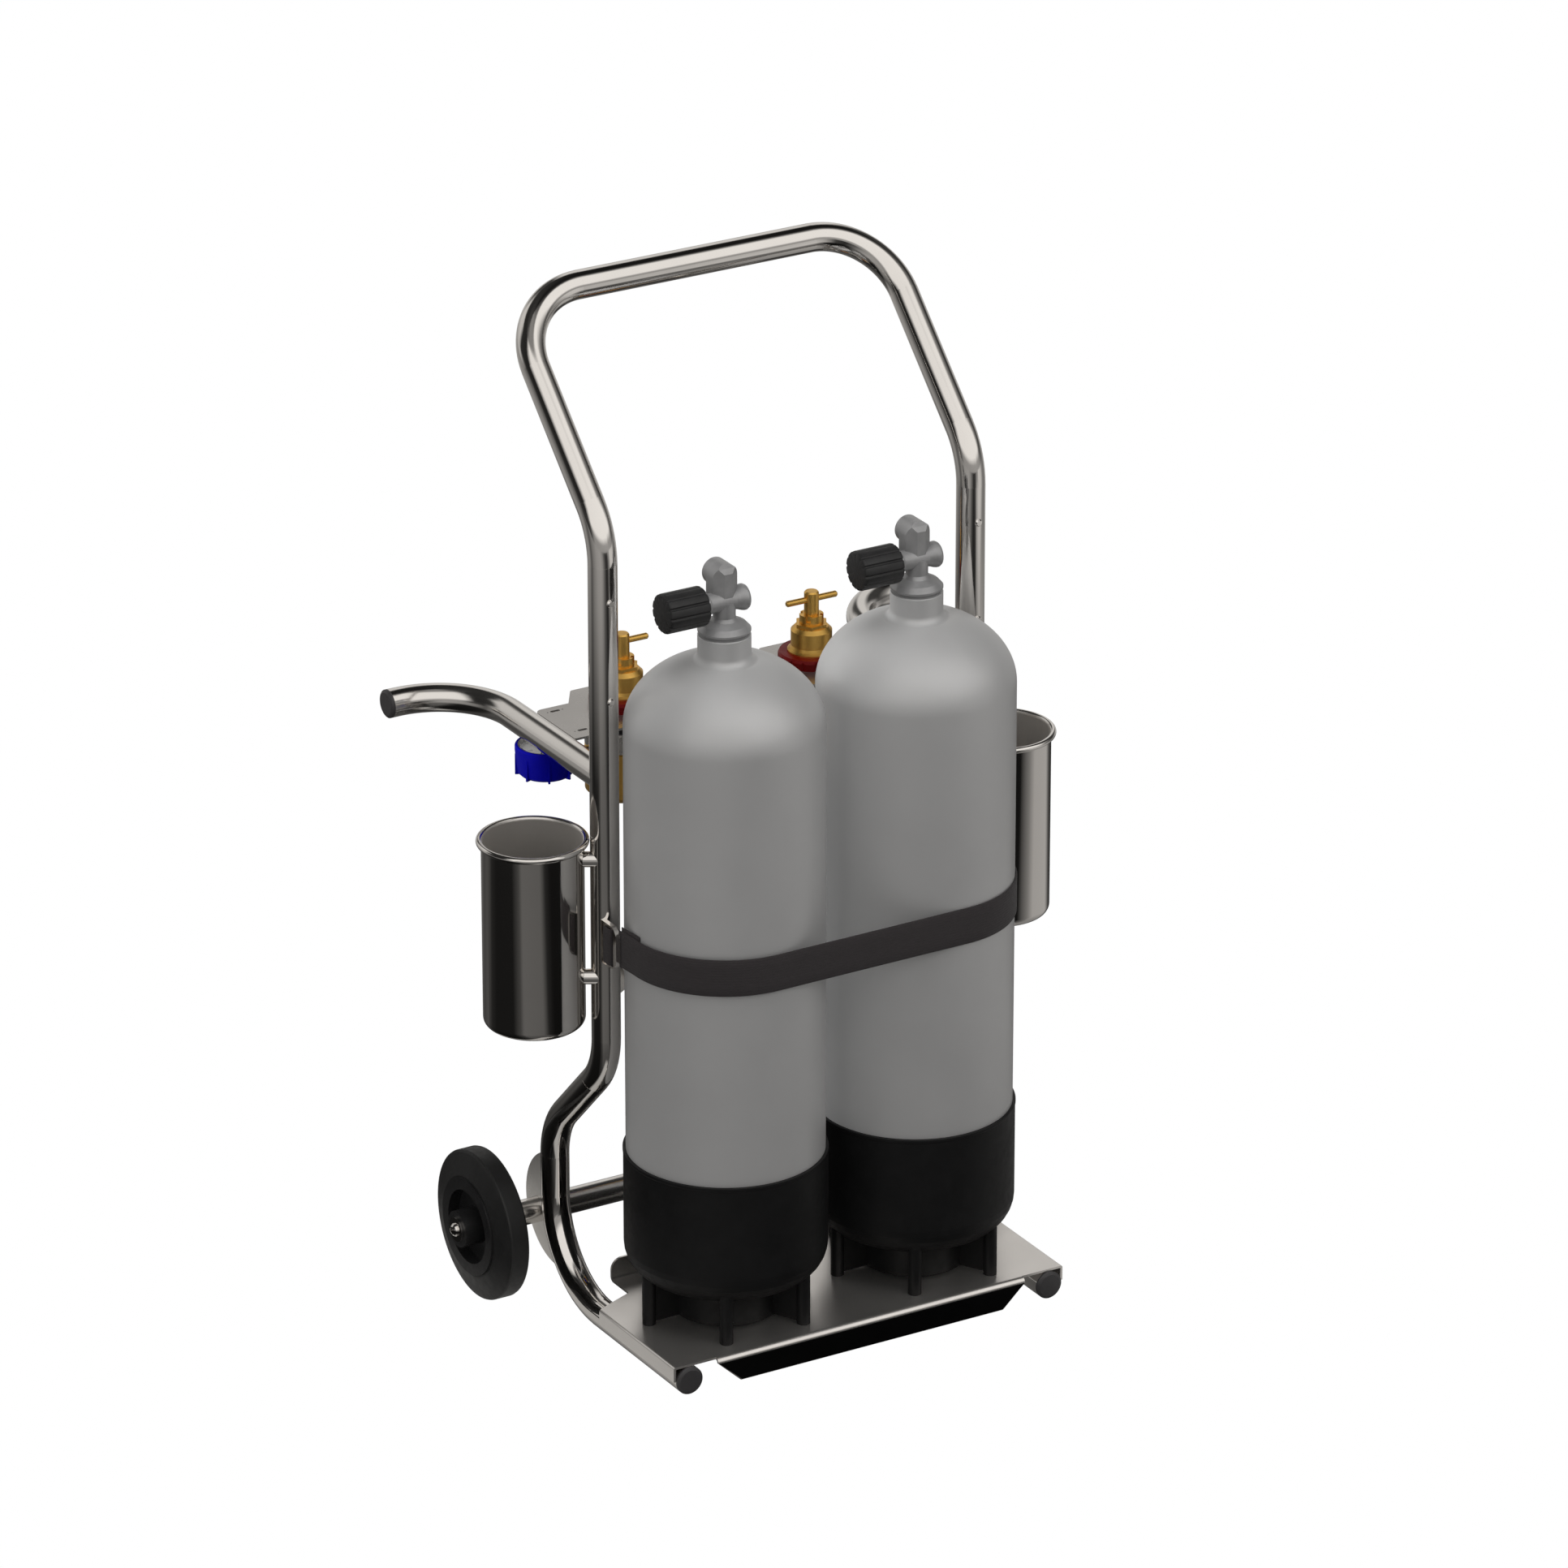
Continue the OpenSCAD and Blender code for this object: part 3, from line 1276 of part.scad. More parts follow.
// Needle on its arbor, over the dial
module pointer(side) {
  reach = gauge_d / 2 - 3 * gauge_wall;
  base_z = gauge_h - dial_drop - lens_t + 2 * weld_gap;
  color([0.05, 0.05, 0.05]) at_regulator(side)
    translate([-gauge_reach, 0, gauge_top - gauge_h + base_z]) {
      cylinder(r = gauge_wall / 2, h = 2.4 * pointer_t);
      translate([0, 0, 1.4 * pointer_t]) rotate([0, 0, 225]) linear_extrude(pointer_t) polygon([
        [-reach / 3, gauge_wall / 3], [-reach / 3, -gauge_wall / 3],
        [reach, -gauge_wall / 10], [reach, gauge_wall / 10]
      ]);
    }
}

module pointer_left() { pointer(-1); }

module pointer_right() { pointer(1); }

side_frame_left();
side_frame_right();
push_handle();
arm_left();
arm_right();
foot_caps();
arm_caps();
axle_tube();
axle_stubs();
gussets();
base_plate();
label_plate();
cup_left();
cup_right();
cup_studs();
strap_lugs();
strap();
strap_tail();
back_rest();
shelf_plate();
frame_screws();
wheel_left();
wheel_right();
tyre_left();
tyre_right();
wheel_washers();
wheel_bolts();
shell_left();
shell_right();
boot_left();
boot_right();
valve_left();
valve_right();
spindle_left();
spindle_right();
knob_left();
knob_right();
panel_rings();
bonnets();
seal_rings();
steel_bodies();
brass_bodies();
screw_left();
screw_right();
cross_bar_left();
cross_bar_right();
button_left();
button_right();
gauge_stems();
gauge_boots();
gauge_cases();
gauge_dials();
gauge_lenses();
pointer_left();
pointer_right();
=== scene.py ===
"""Studio scene of a loaded gas cylinder trolley.

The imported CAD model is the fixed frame. Each sub-assembly below dresses its own CAD nodes with
procedural finishes and adds the soft and small pieces that the CAD leaves out. All sizes are in
metres, in the frame of the model: +Z up, +Y to the rear, the origin on the floor.
"""

import logging
import math
from dataclasses import dataclass
from enum import Enum
from typing import Protocol, Sequence

import bmesh
import bpy
from mathutils import Matrix, Vector

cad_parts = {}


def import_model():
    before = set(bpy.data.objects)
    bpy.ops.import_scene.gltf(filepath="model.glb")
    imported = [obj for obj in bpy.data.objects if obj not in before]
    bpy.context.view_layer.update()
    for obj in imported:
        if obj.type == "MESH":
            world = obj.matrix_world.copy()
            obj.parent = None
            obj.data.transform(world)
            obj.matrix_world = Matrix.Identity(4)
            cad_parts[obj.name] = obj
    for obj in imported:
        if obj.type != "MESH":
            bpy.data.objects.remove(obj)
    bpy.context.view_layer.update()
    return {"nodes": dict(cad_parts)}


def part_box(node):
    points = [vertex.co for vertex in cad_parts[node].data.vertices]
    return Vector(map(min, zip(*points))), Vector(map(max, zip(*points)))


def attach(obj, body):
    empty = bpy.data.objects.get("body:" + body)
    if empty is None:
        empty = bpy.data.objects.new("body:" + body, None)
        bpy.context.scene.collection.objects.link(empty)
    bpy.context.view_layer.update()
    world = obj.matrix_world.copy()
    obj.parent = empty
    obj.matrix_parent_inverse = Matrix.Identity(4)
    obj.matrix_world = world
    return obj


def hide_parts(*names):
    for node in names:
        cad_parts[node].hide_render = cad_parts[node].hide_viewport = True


log = logging.getLogger("trolley")

Colour = tuple[float, float, float]
Point = tuple[float, float, float]
Bands = tuple[tuple[float, float], ...]
Socket = bpy.types.NodeSocket

# Y of both cylinders' axes. Places to the front and to the rear are counted from it.
SHIFT_Y = -0.124632

BLACK: Colour = (0.0, 0.0, 0.0)
WHITE: Colour = (1.0, 1.0, 1.0)
# Tint of the greys that polished steel shows.
WARM: Colour = (1.0, 0.975, 0.945)

# Range that holds nearly all values of a noise texture.
NOISE_LOW, NOISE_HIGH = 0.3, 0.7
# Octaves of the noises for colour, for smudges and for relief.
COLOUR_DETAIL, SMUDGE_DETAIL, GRAIN_DETAIL = 4.0, 6.0, 3.0
# How much finer the smudges are than the patches of colour.
SMUDGE_FINENESS = 3.1
LEAST_ROUGHNESS = 0.02
# Places of a mix node's colour sockets, whose names others of its sockets have too.
MIX_COLOURS, MIX_RESULT = (6, 7), 2

# Soft selvedge of a webbing: share of its thickness, and share of it that rounds the edge.
SELVEDGE_THICK, SELVEDGE_ROUND = 0.55, 0.2
RIBBON_SMOOTH_DEG = 60.0


class Side(Enum):
    """Left and right of the trolley, with the sign of X."""

    LEFT = -1
    RIGHT = 1

    @property
    def word(self) -> str:
        """The side's name, as it ends the names of nodes."""
        return self.name.lower()


class Body(Enum):
    """Rigid bodies of the CAD model that pieces ride on."""

    FRAME = "frame"


# Materials


@dataclass(frozen=True)
class Finish:
    """A surface with its own colour, gloss and fine relief.

    Attributes:
        name: Name of the material.
        colour: Base colour, linear.
        metallic: 1 for bare metal.
        roughness: Mean roughness.
        mottle: Share by which the colour wanders.
        mottle_scale: Patches per metre of that wander.
        smudge: Amount by which the roughness wanders.
        grain: Height of the fine relief in metres.
        grain_scale: Grains per metre.
        stretch: Stretch of the grain along X, Y and Z.
        coat: Weight of a clear coat.
        sheen: Weight of a cloth-like sheen.
        gloss: Strength of the highlights of a surface that isn't bare metal.
    """

    name: str
    colour: Colour
    metallic: float = 0.0
    roughness: float = 0.5
    mottle: float = 0.06
    mottle_scale: float = 9.0
    smudge: float = 0.05
    grain: float = 0.0
    grain_scale: float = 900.0
    stretch: Point = (1.0, 1.0, 1.0)
    coat: float = 0.0
    sheen: float = 0.0
    gloss: float = 0.5

    def build(self) -> bpy.types.Material:
        """Builds the node tree.

        Returns:
            The material.
        """
        mat = bpy.data.materials.new(self.name)
        mat.use_nodes = True
        mat.diffuse_color = (*self.colour, 1.0)
        tree = NodeTree(mat.node_tree)
        shader = tree.find("ShaderNodeBsdfPrincipled")
        shader.inputs["Metallic"].default_value = self.metallic
        shader.inputs["Coat Weight"].default_value = self.coat
        shader.inputs["Sheen Weight"].default_value = self.sheen
        shader.inputs["Specular IOR Level"].default_value = self.gloss
        place = tree.add("ShaderNodeTexCoord").outputs["Object"]
        wander = tree.noise(place, self.mottle_scale, detail=COLOUR_DETAIL)
        dark = tuple(c * (1.0 - self.mottle) for c in self.colour)
        light = tuple(min(1.0, c * (1.0 + self.mottle)) for c in self.colour)
        stops = [(NOISE_LOW, dark), (NOISE_HIGH, light)]
        tree.link(tree.ramp(wander, stops), shader.inputs["Base Color"])
        smudges = tree.noise(place, SMUDGE_FINENESS * self.mottle_scale, detail=SMUDGE_DETAIL)
        tree.link(
            tree.spread(smudges, self.roughness - self.smudge, self.roughness + self.smudge),
            shader.inputs["Roughness"],
        )
        if self.grain > 0.0:
            stretched = tree.scaled(place, self.stretch)
            relief = tree.noise(stretched, self.grain_scale, detail=GRAIN_DETAIL)
            tree.link(tree.bump(relief, self.grain), shader.inputs["Normal"])
        return mat


class NodeTree:
    """Short calls for the nodes that the finishes share."""

    def __init__(self, tree: bpy.types.NodeTree) -> None:
        """Keeps the tree that the calls add to."""
        self.tree = tree

    def add(self, kind: str) -> bpy.types.Node:
        """Adds a node of this kind."""
        return self.tree.nodes.new(kind)

    def find(self, kind: str) -> bpy.types.Node:
        """Returns the first node of this kind."""
        return next(n for n in self.tree.nodes if n.bl_idname == kind)

    def link(self, source: Socket, target: Socket) -> None:
        """Joins two sockets."""
        self.tree.links.new(source, target)

    def noise(self, place: Socket, scale: float, detail: float) -> Socket:
        """Adds a noise texture.

        Args:
            place: Coordinates that it is read at.
            scale: Patches per metre.
            detail: Octaves.

        Returns:
            Its value.
        """
        node = self.add("ShaderNodeTexNoise")
        node.inputs["Scale"].default_value = scale
        node.inputs["Detail"].default_value = detail
        self.link(place, node.inputs["Vector"])
        return node.outputs["Fac"]

    def scaled(self, place: Socket, factors: Point) -> Socket:
        """Stretches coordinates.

        Args:
            place: The coordinates.
            factors: Stretch along X, Y and Z.

        Returns:
            The stretched coordinates.
        """
        node = self.add("ShaderNodeMapping")
        node.inputs["Scale"].default_value = factors
        self.link(place, node.inputs["Vector"])
        return node.outputs["Vector"]

    def ramp(self, value: Socket, stops: Sequence[tuple[float, Colour]]) -> Socket:
        """Maps a value to colours.

        Args:
            value: The value, from 0 to 1.
            stops: Places on the way from 0 to 1, with their colours.

        Returns:
            The colour.
        """
        node = self.add("ShaderNodeValToRGB")
        band = node.color_ramp
        while len(band.elements) < len(stops):
            band.elements.new(0.5)
        for element, (position, colour) in zip(band.elements, stops):
            element.position = position
            element.color = (*colour, 1.0)
        self.link(value, node.inputs["Fac"])
        return node.outputs["Color"]

    def spread(self, value: Socket, low: float, high: float) -> Socket:
        """Maps the middle of a noise to a range of roughness.

        Args:
            value: The noise.
            low: Least roughness, kept over that of a perfect mirror.
            high: Greatest roughness.

        Returns:
            The roughness.
        """
        node = self.add("ShaderNodeMapRange")
        for name, number in (
            ("From Min", NOISE_LOW),
            ("From Max", NOISE_HIGH),
            ("To Min", max(LEAST_ROUGHNESS, low)),
            ("To Max", high),
        ):
            node.inputs[name].default_value = number
        self.link(value, node.inputs["Value"])
        return node.outputs["Result"]

    def bump(self, height: Socket, depth: float) -> Socket:
        """Turns a height into relief.

        Args:
            height: The height, from 0 to 1.
            depth: Depth of the relief in metres.

        Returns:
            The bent normal.
        """
        node = self.add("ShaderNodeBump")
        node.inputs["Strength"].default_value = 1.0
        node.inputs["Distance"].default_value = depth
        self.link(height, node.inputs["Height"])
        return node.outputs["Normal"]

    def math(self, operation: str, *values: "Socket | float") -> Socket:
        """Adds a maths node.

        Args:
            operation: What it does.
            values: Sockets or numbers that it does this to.

        Returns:
            The result.
        """
        node = self.add("ShaderNodeMath")
        node.operation = operation
        for slot, value in zip(node.inputs, values):
            if isinstance(value, (int, float)):
                slot.default_value = value
            else:
                self.link(value, slot)
        return node.outputs["Value"]


@dataclass(frozen=True)
class Webbing(Finish):
    """Woven strap: a fine twill over ribs.

    Attributes:
        picks: Threads per metre, along and across.
        twill: Share of the height that the twill takes.
        ribs: Share that the ribs take, each of two threads.
        relief: Depth of the weave in metres.
        shade: Brightness of the threads' low parts, as painted shade between the threads.
        shade_stops: Heights where the low and the full colour stand.
    """

    picks: float = 700.0
    twill: float = 0.3
    ribs: float = 0.2
    relief: float = 0.00025
    shade: float = 0.8
    shade_stops: tuple[float, float] = (0.1, 0.9)

    def build(self) -> bpy.types.Material:
        """Builds the weave, with painted shade in its low parts, on the strap's own length and
        width coordinates.

        Returns:
            The material.
        """
        mat = super().build()
        tree = NodeTree(mat.node_tree)
        shader = tree.find("ShaderNodeBsdfPrincipled")
        uv = tree.add("ShaderNodeUVMap")
        uv.uv_map = "strap"
        split = tree.add("ShaderNodeSeparateXYZ")
        tree.link(uv.outputs["UV"], split.inputs["Vector"])
        along = tree.math("MULTIPLY", split.outputs["X"], self.picks * math.tau)
        across = tree.math("MULTIPLY", split.outputs["Y"], self.picks * math.tau)
        twill = tree.math("SINE", tree.math("ADD", along, across))
        ribs = tree.math("SINE", tree.math("MULTIPLY", across, 0.5))
        ribbed = tree.math("MULTIPLY_ADD", ribs, self.ribs, 0.5)
        weave = tree.math("MULTIPLY_ADD", twill, self.twill, ribbed)
        tree.link(tree.bump(weave, self.relief), shader.inputs["Normal"])
        # Painted shade: the low parts of the weave get a darker colour, standing in for shade
        # between the threads.
        low, high = self.shade_stops
        shaded = tuple(self.shade * c for c in self.colour)
        weave_with_painted_shade = tree.ramp(weave, [(low, shaded), (high, self.colour)])
        tree.link(weave_with_painted_shade, shader.inputs["Base Color"])
        return mat


STEEL_COLOUR: Colour = (0.80, 0.775, 0.745)

STAINLESS = Finish(
    "stainless", STEEL_COLOUR, metallic=1.0, roughness=0.085, mottle=0.02, mottle_scale=14.0,
    smudge=0.02, grain=0.000001, grain_scale=500.0,
)
BENT = Finish(
    "bent_arm_steel", STEEL_COLOUR, metallic=1.0, roughness=0.15, mottle=0.02, mottle_scale=14.0,
    smudge=0.02, grain=0.000001, grain_scale=500.0,
)
SHEET = Finish(
    "stainless_sheet", STEEL_COLOUR, metallic=0.955, roughness=0.3, mottle=0.03, mottle_scale=8.0,
    smudge=0.02, grain=0.0000006, grain_scale=700.0, stretch=(0.3, 1.0, 1.0),
)
SHELF = Finish(
    "shelf_sheet", (0.47, 0.455, 0.437), metallic=0.955, roughness=0.28, mottle=0.04,
    mottle_scale=8.0, smudge=0.02, grain=0.0000006, grain_scale=700.0, stretch=(1.0, 0.3, 1.0),
)
DRAWN = Finish(
    "drawn_steel", STEEL_COLOUR, metallic=0.97, roughness=0.2, mottle=0.03, mottle_scale=20.0,
    smudge=0.03, grain=0.000005, stretch=(0.05, 1.0, 1.0),
)
SATIN = Finish(
    "satin_steel", (0.72, 0.70, 0.67), metallic=0.9, roughness=0.3, mottle=0.03, mottle_scale=20.0,
    smudge=0.04, grain=0.000006,
)
PAINT = Finish(
    "cylinder_paint", (0.33, 0.33, 0.33), metallic=0.42, roughness=0.44, mottle=0.03,
    mottle_scale=7.0, grain=0.00003, grain_scale=520.0, coat=0.1,
)
CAST = Finish(
    "cast_valve", (0.235, 0.235, 0.237), metallic=0.55, roughness=0.38, mottle=0.1,
    mottle_scale=60.0, smudge=0.07, grain=0.0001,
)
BOOT = Finish(
    "boot_rubber", (0.0042, 0.0042, 0.0044), mottle=0.15, mottle_scale=30.0, smudge=0.06,
    grain=0.00006, grain_scale=700.0, gloss=0.25,
)
CAP = Finish(
    "cap_plastic", (0.022, 0.021, 0.022), mottle=0.1, mottle_scale=60.0, grain=0.00004,
    grain_scale=1500.0,
)
TYRE = Finish(
    "tyre_rubber", (0.008, 0.008, 0.008), mottle=0.15, mottle_scale=40.0, smudge=0.06,
    grain=0.00008, gloss=0.4,
)
HUB = Finish(
    "wheel_plastic", (0.007, 0.007, 0.0073), roughness=0.42, mottle=0.12, mottle_scale=50.0,
    smudge=0.06, grain=0.00005, grain_scale=1200.0, gloss=0.4,
)
KNOB = Finish(
    "knob_plastic", (0.010, 0.010, 0.0102), roughness=0.42, mottle=0.15, mottle_scale=90.0,
    smudge=0.06, grain=0.00016, grain_scale=1300.0, gloss=0.4,
)
PANEL = Finish(
    "black_panel", (0.0012, 0.0012, 0.0012), roughness=0.4, mottle=0.1, mottle_scale=30.0,
    smudge=0.04, grain=0.00001, gloss=0.08,
)
BRASS = Finish(
    "machined_brass", (0.86, 0.52, 0.13), metallic=1.0, roughness=0.36, mottle_scale=60.0,
    smudge=0.06, grain=0.000015, grain_scale=1500.0, stretch=(1.0, 1.0, 6.0),
)
RED = Finish(
    "red_ring", (0.085, 0.0003, 0.0006), metallic=0.1, roughness=0.4, mottle=0.08,
    mottle_scale=60.0, grain=0.00001, gloss=0.2,
)
SEAL = Finish(
    "seal_rubber", (0.009, 0.009, 0.009), mottle=0.1, mottle_scale=50.0, grain=0.00003,
)
BLUE = Finish(
    "gauge_rubber", (0.0003, 0.0001, 0.27), roughness=0.6, mottle_scale=60.0, grain=0.00003,
    gloss=0.08,
)
STEEL = Finish(
    "machined_steel", (0.6, 0.59, 0.57), metallic=1.0, roughness=0.28, mottle=0.05,
    mottle_scale=40.0, grain=0.00001, grain_scale=1200.0, stretch=(1.0, 1.0, 8.0),
)
DIAL = Finish(
    "dial_enamel", (0.93, 0.93, 0.92), roughness=0.4, mottle=0.02, mottle_scale=30.0, smudge=0.04,
)
INK = Finish(
    "dial_ink", (0.012, 0.012, 0.013), mottle=0.1, mottle_scale=90.0,
)
STRAP = Webbing(
    "strap_webbing", (0.021, 0.018, 0.019), roughness=0.75, mottle=0.1, mottle_scale=40.0,
    sheen=0.05, gloss=0.3,
)


@dataclass(frozen=True)
class CupSteel(Finish):
    """Polished outside and dull drawn inside of a cup.

    Attributes:
        axis: Place of the cup's axis in plan.
        radius: Radius within which the surface is the inside.
        floor: Height above which it is.
        inside_metal: What is added to the metal inside.
        inside_rough: What is added to the roughness inside.
    """

    axis: tuple[float, float] = (0.0, 0.0)
    radius: float = 0.0515
    floor: float = 0.0
    inside_metal: float = -0.07
    inside_rough: float = 0.3

    def build(self) -> bpy.types.Material:
        """Makes the surface duller and less of a mirror inside the cup.

        Returns:
            The material.
        """
        mat = super().build()
        tree = NodeTree(mat.node_tree)
        shader = tree.find("ShaderNodeBsdfPrincipled")
        split = tree.add("ShaderNodeSeparateXYZ")
        tree.link(tree.add("ShaderNodeTexCoord").outputs["Object"], split.inputs["Vector"])
        parts = [tree.math("SUBTRACT", split.outputs[k], v) for k, v in zip("XY", self.axis)]
        squares = [tree.math("MULTIPLY", part, part) for part in parts]
        within = tree.math("LESS_THAN", tree.math("ADD", *squares), self.radius ** 2)
        above = tree.math("GREATER_THAN", split.outputs["Z"], self.floor)
        inside = tree.math("MULTIPLY", within, above)
        metal = tree.math("MULTIPLY_ADD", inside, self.inside_metal, self.metallic)
        tree.link(metal, shader.inputs["Metallic"])
        rough = tree.math("MULTIPLY_ADD", inside, self.inside_rough, self.roughness)
        tree.link(rough, shader.inputs["Roughness"])
        return mat


@dataclass(frozen=True)
class Lens(Finish):
    """Clear window of a gauge.

    Attributes:
        cover: Share of the light that it stops.
    """

    cover: float = 0.06

    def build(self) -> bpy.types.Material:
        """Makes the surface nearly clear, with faint marks in its gloss.

        Returns:
            The material.
        """
        mat = super().build()
        shader = NodeTree(mat.node_tree).find("ShaderNodeBsdfPrincipled")
        shader.inputs["Alpha"].default_value = self.cover
        return mat


LENS = Lens(
    "gauge_window", (0.98, 0.99, 1.0), roughness=0.05, mottle=0.01, mottle_scale=20.0, smudge=0.02,
)


class Finishes:
    """Builds each finish once, puts it on CAD nodes and new pieces, and keeps a list of both."""

    def __init__(self, nodes: dict[str, bpy.types.Object]) -> None:
        """Starts with the CAD nodes and no material.

        Args:
            nodes: The CAD nodes by name.
        """
        self.nodes = nodes
        self.built: dict[str, bpy.types.Material] = {}
        self.dressed: list[tuple[str, str]] = []

    def material(self, finish: Finish) -> bpy.types.Material:
        """Builds the finish's material at its first use.

        Args:
            finish: The finish.

        Returns:
            Its one material.
        """
        if finish.name not in self.built:
            self.built[finish.name] = finish.build()
        return self.built[finish.name]

    def put(self, finish: Finish, *names: str) -> None:
        """Dresses CAD nodes.

        Args:
            finish: The finish to use.
            names: Names of the nodes.
        """
        for name in names:
            self.dress(self.nodes[name], finish)

    def dress(self, piece: bpy.types.Object, finish: Finish) -> None:
        """Gives one object a single finish, and notes both names.

        Args:
            piece: The object.
            finish: Its finish.
        """
        piece.data.materials.clear()
        piece.data.materials.append(self.material(finish))
        for face in getattr(piece.data, "polygons", ()):
            face.material_index = 0
        self.dressed.append((piece.name, finish.name))


class Part(Protocol):
    """A sub-assembly that dresses its own pieces."""

    def dress(self, finishes: Finishes) -> None:
        """Puts its finishes on."""


# Geometry helpers


def mesh_object(name: str, mesh: bmesh.types.BMesh, smooth_deg: float = 35.0) -> bpy.types.Object:
    """Makes an object of a bmesh, in place, with smooth shading up to an angle.

    Args:
        name: Name of the new piece.
        mesh: The geometry, which is freed.
        smooth_deg: Edges sharper than this stay sharp.

    Returns:
        The object, in the scene.
    """
    data = bpy.data.meshes.new(name)
    bmesh.ops.recalc_face_normals(mesh, faces=mesh.faces)
    limit = math.radians(smooth_deg)
    for face in mesh.faces:
        face.smooth = True
    for edge in mesh.edges:
        if len(edge.link_faces) == 2 and edge.calc_face_angle(0.0) > limit:
            edge.smooth = False
    mesh.to_mesh(data)
    mesh.free()
    piece = bpy.data.objects.new(name, data)
    bpy.context.scene.collection.objects.link(piece)
    return piece


def revolve(
    profile: Sequence[tuple[float, float]], place: Matrix, steps: int
) -> bmesh.types.BMesh:
    """Turns a closed profile of (radius, height) about the Z axis of a place.

    Args:
        profile: Points of the section, none on the axis.
        place: Where the axis stands.
        steps: Segments round the turn.

    Returns:
        The turned ring.
    """
    mesh = bmesh.new()
    rings = []
    for i in range(steps):
        turn = math.tau * i / steps
        rings.append([
            mesh.verts.new(place @ Vector((r * math.cos(turn), r * math.sin(turn), z)))
            for r, z in profile
        ])
    close_turn(mesh, rings)
    return mesh


def close_turn(mesh: bmesh.types.BMesh, rings: Sequence[list[bmesh.types.BMVert]]) -> None:
    """Adds the faces between closed sections that go once round an axis.

    Args:
        mesh: The mesh that the sections are in.
        rings: The points of each section, in the order of the turn.
    """
    for i, a in enumerate(rings):
        b = rings[(i + 1) % len(rings)]
        for j in range(len(a)):
            k = (j + 1) % len(a)
            mesh.faces.new((a[j], b[j], b[k], a[k]))


def ellipse(
    across: float, up: float, start: float, end: float, level: float, count: int
) -> list[tuple[float, float]]:
    """Points of a quarter ellipse about a level on the axis, with angles in degrees."""
    angles = [math.radians(start + (end - start) * i / count) for i in range(count + 1)]
    return [(across * math.cos(a), level + up * math.sin(a)) for a in angles]


def arc(centre: Vector, radius: float, start: float, end: float, count: int) -> list[Vector]:
    """Points on a level arc, with angles in degrees."""
    angles = [math.radians(start + (end - start) * i / (count - 1)) for i in range(count)]
    return [centre + radius * Vector((math.cos(a), math.sin(a), 0.0)) for a in angles]


def ribbon(
    name: str, path: Sequence[Vector], level: float, width: float, thick: float
) -> bpy.types.Object:
    """A flat strap standing on edge along a path in plan, with soft selvedges.

    Args:
        name: Name of the new piece.
        path: Points of its middle line, at floor level.
        level: Height of its middle.
        width: Width of the webbing.
        thick: Its thickness.

    Returns:
        The object, with the UV map "strap" in metres along and across.
    """
    mesh = bmesh.new()
    layer = mesh.loops.layers.uv.new("strap")
    half, side = width / 2, thick / 2
    section = [(side, t * (half - side)) for t in (-1.0, -0.5, 0.0, 0.5, 1.0)]
    edge, edge_level = SELVEDGE_THICK * side, half - SELVEDGE_ROUND * side
    section += [(edge, edge_level), (0.0, half), (-edge, edge_level)]
    section += [(-a, -b) for a, b in section]
    lengths = [0.0]
    for a, b in zip(path, path[1:]):
        lengths.append(lengths[-1] + (b - a).length)
    rows = []
    for i, point in enumerate(path):
        ahead = (path[min(i + 1, len(path) - 1)] - path[max(i - 1, 0)]).normalized()
        out = Vector((ahead.y, -ahead.x, 0.0))
        rows.append([
            mesh.verts.new(point + out * a + Vector((0.0, 0.0, level + b))) for a, b in section
        ])
    count = len(section)
    for i in range(len(path) - 1):
        for j in range(count):
            k = (j + 1) % count
            face = mesh.faces.new((rows[i][j], rows[i][k], rows[i + 1][k], rows[i + 1][j]))
            ends = ((i, j), (i, k), (i + 1, k), (i + 1, j))
            for loop, (row, place) in zip(face.loops, ends):
                loop[layer].uv = (lengths[row], section[place][1])
    mesh.faces.new(rows[0])
    mesh.faces.new(list(reversed(rows[-1])))
    return mesh_object(name, mesh, RIBBON_SMOOTH_DEG)


def length_of(path: Sequence[Vector]) -> float:
    """Length of a path through its points."""
    return sum((b - a).length for a, b in zip(path, path[1:]))


# Sub-assemblies


